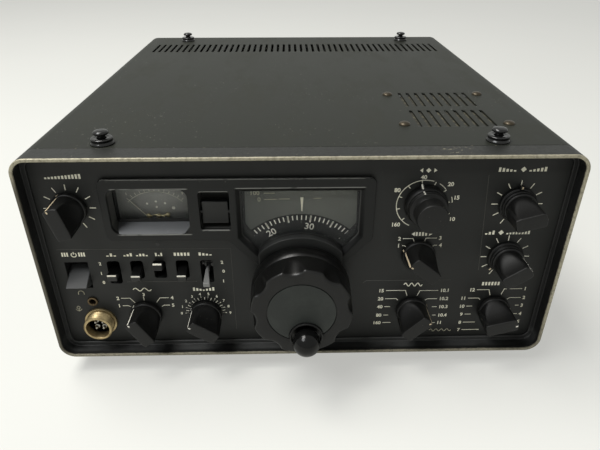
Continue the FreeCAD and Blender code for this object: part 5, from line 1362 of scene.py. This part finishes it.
def screws(spots, material):
    """Screws at (place, outward direction) pairs."""
    points = bpy.data.meshes.new("spots")
    points.from_pydata([spot for spot, out in spots], [], [])
    outward = points.attributes.new("out", "FLOAT_VECTOR", "POINT")
    for k, (spot, out) in enumerate(spots):
        outward.data[k].vector = out
    return screw_maker.run(material, points, Turn=0.9)


print("faces of one screw:", len(screw_source.data.polygons))

# %% Where the case's own screws are
def islands(mesh):
    """The two corners of each loose part of a mesh, in the order of its points."""
    work = bmesh.new()
    work.from_mesh(mesh)
    bmesh.ops.remove_doubles(work, verts=work.verts, dist=2e-6)
    seen = set()
    for start in work.verts:
        if start in seen:
            continue
        seen.add(start)
        group = [start]
        for vertex in group:
            near = [v for link in vertex.link_edges for v in link.verts if v not in seen]
            seen.update(near)
            group += dict.fromkeys(near)
        yield [Vector([pick(v.co[i] for v in group) for i in range(3)]) for pick in (min, max)]
    work.free()


SPEAKER = (86.3, 75.0)
SIDE_X = 136.0
top_spots = [(at(SPEAKER[0] + i, SPEAKER[1] + j, CASE_TOP), (0, 0, 1)) for i in (-29, 29) for j in (-29, 29)]
other_spots = []
for low, high in islands(nodes["case_screws"].data):
    if high.z > at(0, 0, CASE_TOP).z:
        continue
    spot = (low + high) / 2
    if abs(spot.x) > SIDE_X * MM:
        axis, way = 0, math.copysign(1.0, spot.x)
    elif high.y > at(0, REAR, 0).y:
        axis, way = 1, 1.0
    else:
        axis, way = 2, -1.0
    out = Vector((0, 0, 0))
    out[axis] = way
    spot[axis] = (high if way > 0 else low)[axis] - way * SCREW_HEIGHT * MM
    other_spots.append((spot, tuple(out)))
print(len(top_spots), "screws on the top and", len(other_spots), "elsewhere")
piece("speaker_screws", screws(top_spots, screw_brown), None, "case", "screw_black")
piece("cover_screws", screws(other_spots, screw_black), None, "case", "screw_black", "case_screws")
bpy.data.objects.remove(screw_source)

# %% Cloth under the loudspeaker slots, with lint on it
CLOTH_TOP, LINT_TOP = 122.55, 123.6
cloth_disc = [(0, 122.75), (20, 122.7), (34.2, 122.6), (34.4, 122.3), (34.2, 122.1), (0, 122.1)]
piece("grille_cloth", lathe(cloth_disc, SPEAKER, "z", 64), grille, "case", "cone_paper")


def lint_tree():
    tree = Tree("lint_in_slots", Seed=4, Size=0.0016, Density=26000.0)
    plane = tree.node("GeometryNodeMeshGrid", {"Size X": 0.044, "Size Y": 0.064, "Vertices X": 2, "Vertices Y": 2})
    scatter = tree.node("GeometryNodeDistributePointsOnFaces", {
        "Mesh": plane.outputs[0], "Density": tree.given["Density"], "Seed": tree.given["Seed"]})
    blob = tree.node("GeometryNodeMeshIcoSphere", {"Radius": tree.value("Size") * 0.5, "Subdivisions": 1})
    turn, size = (tree.node("FunctionNodeRandomValue", inputs, data_type="FLOAT_VECTOR") for inputs in (
        {"Max": (6.28, 6.28, 6.28), "Seed": 2}, {"Min": (0.3, 0.3, 0.15), "Max": (1.3, 0.7, 0.35), "Seed": 3}))
    lint = tree.node("GeometryNodeInstanceOnPoints", {"Points": scatter.outputs[0], "Instance": blob.outputs[0],
                                                      "Rotation": turn.outputs[0], "Scale": size.outputs[0]})
    return tree.end(lint.outputs[0])


crumbs = lint_tree().run(grille)
crumbs.transform(Matrix.Translation(at(*SPEAKER, CLOTH_TOP)))
work = bmesh.new()
work.from_mesh(crumbs)
bmesh.ops.delete(work, geom=[v for v in work.verts if v.co.z > at(0, 0, LINT_TOP).z], context="VERTS")
work.to_mesh(crumbs)
work.free()
piece("slot_lint", crumbs, None, "case", "cone_paper")
print("lint:", len(crumbs.polygons), "faces")

# %% [markdown]
# ## Rear and underside
# The rear panel carries a finned heat sink, an antenna socket with a coarse
# thread, six phono sockets with white insulators, the supply inlet and an earth
# stud.  None shows in the photograph, so they follow what such sets have.

# %% Antenna socket, phono sockets, earth stud
def on_rear(profile, spot, corner=None, steps=72):
    """A turned part on the rear panel, from (radius, distance behind it) points."""
    points = [(radius, REAR + y) for radius, y in profile]
    return lathe(rounded(points, corner) if corner else points, spot, steps=steps)


ANT = (100.0, 90.0)
plate = box_mesh(ANT[0] - 12.7, ANT[0] + 12.7, REAR, REAR + 2.0, ANT[1] - 12.7, ANT[1] + 12.7)
barrel = [(0, 1.5), (7.4, 1.5), (7.4, 2.6)] + [(7.94 - 0.55 * (k % 2), 3.0 + 0.53 * k) for k in range(22)]
barrel += [(7.5, 15.0), (5.6, 15.0), (5.6, 7.0), (0, 7.0)]
piece("antenna_shell", joined([softened(bevelled(plate, 0.5)), on_rear(barrel, ANT, steps=96)]), nickel, "case",
      "plated", "antenna_socket")
core = on_rear([(0, 6.9), (5.5, 6.9), (5.5, 9.6), (2.9, 9.8), (2.9, 9.0), (0, 9.0)], ANT, 0.2)
piece("antenna_core", core, bat_grey, "case", "insert_black")
contact = on_rear([(2.0, 7.2), (2.0, 14.2), (2.8, 14.6), (2.8, 6.0), (2.0, 6.0), (2.0, 7.2)], ANT, 0.15, 48)
piece("antenna_contact_ring", contact, brass, "case", "mic_brass")
SHELL = [(3.1, 1.0), (3.1, 9.3), (3.5, 9.5), (4.0, 9.3), (4.15, 8.8), (4.15, 1.6), (6.1, 1.5), (6.5, 1.1),
         (6.5, 0), (3.1, 0), (3.1, 1.0)]
INSULATOR = [(1.65, 2.0), (1.65, 9.1), (3.15, 9.1), (3.15, 0.2), (1.65, 0.2), (1.65, 2.0)]
phonos = [(-112.0 + 18.0 * i, 42.0 + 18.0 * j) for i in range(2) for j in range(3)]
piece("phono_shells", joined([on_rear(SHELL, spot, 0.15, 48) for spot in phonos]), nickel, "case", "plated",
      "phono_sockets")
piece("phono_insulators", joined([on_rear(INSULATOR, spot, 0.15, 40) for spot in phonos]), bat_grey, "case",
      "bat_plastic")
STUD = (100.0, 24.0)
thread = [(0, 0)] + [(2.0 - 0.25 * (k % 2), 0.5 + 0.4 * k) for k in range(33)] + [(1.6, 14.0), (0, 14.0)]
nut = on_rear([(2.0, 0), (5.7, 0), (6.0, 0.5), (6.0, 5.4), (5.5, 6.0), (2.0, 6.0)], STUD, 0.3, 24)
ridges = [spun(box_mesh(STUD[0] + 5.75, STUD[0] + 6.0, REAR + 0.6, REAR + 5.4, STUD[1] - 0.3, STUD[1] + 0.3),
               *STUD, 15 * k) for k in range(24)]
piece("earth_stud", joined([on_rear(thread, STUD, steps=32), nut, *ridges]), nickel, "case", "plated",
      "ground_terminal")
print("rear sockets:", len(phonos), "phono")

# %% Heat sink, inlet, rear panel and feet
dress(("sink_fins", "heat_sink", 0.35, 2, anodised, "sink_black"),
      ("supply_inlet", "power_inlet", 0.3, 2, dark_moulding, "insert_black"),
      ("rear_plate", "rear_panel", 0.25, 2, satin, "aluminium_sheet"),
      ("table_feet", "rubber_feet", 0.6, 3, rubber, "rubber"))
coat_nodes(chassis=zinc, panel_bracket=zinc, vfo_box=satin, vfo_gear=gear_brass, tuning_shaft=ground,
           potentiometers=zinc, wafer_switches=zinc, plug_in_boards=board, lever_switch_bodies=dark_moulding,
           power_switch_body=dark_moulding, speaker_frame=speaker_black, speaker_cone=paper)
print("inner nodes have their finishes")

# %% [markdown]
# ## Floor, light and camera
# The table and the room are pale.  A wide soft lamp hangs up on the left, and a
# weaker one stands in front on the left, as a window would.  The white around
# the set is only for rays that reach the camera, or mirror or pass to it.

# %% Floor
TABLE_REACH, TABLE_GLOW = 6.0, 0.55
floor_mesh = bpy.data.meshes.new("table")
table_corners = [(x * TABLE_REACH, y * TABLE_REACH, 0) for x, y in ((-1, -1), (1, -1), (1, 1), (-1, 1))]
floor_mesh.from_pydata(table_corners, [], [(0, 1, 2, 3)])
table_top = shown("table", floor_mesh)
g = Graph("table_top")
tone = g.mix(g.noise(350, 3), (0.72, 0.73, 0.69), (0.80, 0.80, 0.76))
floor_mesh.materials.append(g.finish(tone, 0.8, None, g.noise(60, 3), 0.1, 0.002))
glow = g.node("ShaderNodeEmission", {"Color": (0.86, 0.86, 0.82), "Strength": 1.0})
share = Value(g, g.node("ShaderNodeLightPath").outputs["Is Camera Ray"]) * TABLE_GLOW
blend = g.node("ShaderNodeMixShader", {"Fac": share, 1: g.shader.outputs[0], 2: glow.outputs[0]})
g.feed(g.output.inputs["Surface"], blend.outputs[0])
print("the table is", 2 * TABLE_REACH, "m wide")

# %% World
world = bpy.data.worlds.new("room")
bpy.context.scene.world = world
world.use_nodes = True
room = Network(world.node_tree)
rays = room.node("ShaderNodeLightPath").outputs
camera_ray, glossy_ray, passing_ray = (Value(room, rays[f"Is {kind} Ray"])
                                       for kind in ("Camera", "Glossy", "Transmission"))
plain = room.node("ShaderNodeBackground", {"Color": (0.80, 0.82, 0.80), "Strength": 0.17})
white = room.node("ShaderNodeBackground", {"Color": (0.70, 0.71, 0.68), "Strength": 1.0})
both = room.node("ShaderNodeMixShader", {"Fac": camera_ray.high(glossy_ray).high(passing_ray),
                                         1: plain.outputs[0], 2: white.outputs[0]})
room.node("ShaderNodeOutputWorld", {"Surface": both.outputs[0]})
print("nodes in the world:", len(world.node_tree.nodes))

# %% Lamps and camera
def lamp(name, place, target, size, power, tint):
    data = bpy.data.lights.new(name, "AREA")
    data.shape = "RECTANGLE"
    data.size, data.size_y = size
    data.energy = power
    data.color = tint
    made = shown(name, data)
    made.location = place
    made.rotation_euler = (Vector(target) - Vector(place)).to_track_quat("-Z", "Y").to_euler()


lamp("ceiling", (-0.60, -0.02, 1.6), (0, -0.05, 0.06), (1.0, 0.6), 28.5, (1.0, 0.985, 0.94))
lamp("window", (-0.75, -0.70, 1.35), (0, -0.10, 0.06), (0.7, 0.5), 11.5, (0.97, 0.99, 1.0))
camera_data = bpy.data.cameras.new("view")
camera_data.sensor_width = 36.0
camera_data.lens = 31.877
camera = shown("view", camera_data)
camera.location = at(-6.404, -234.327, 220.191)
camera.rotation_euler = [math.radians(a) for a in (60.40967, -0.02907, -1.24467)]
bpy.context.scene.camera = camera
bpy.context.scene.view_settings.view_transform = "Standard"
print("lamps and camera set")

# %% [markdown] ## End
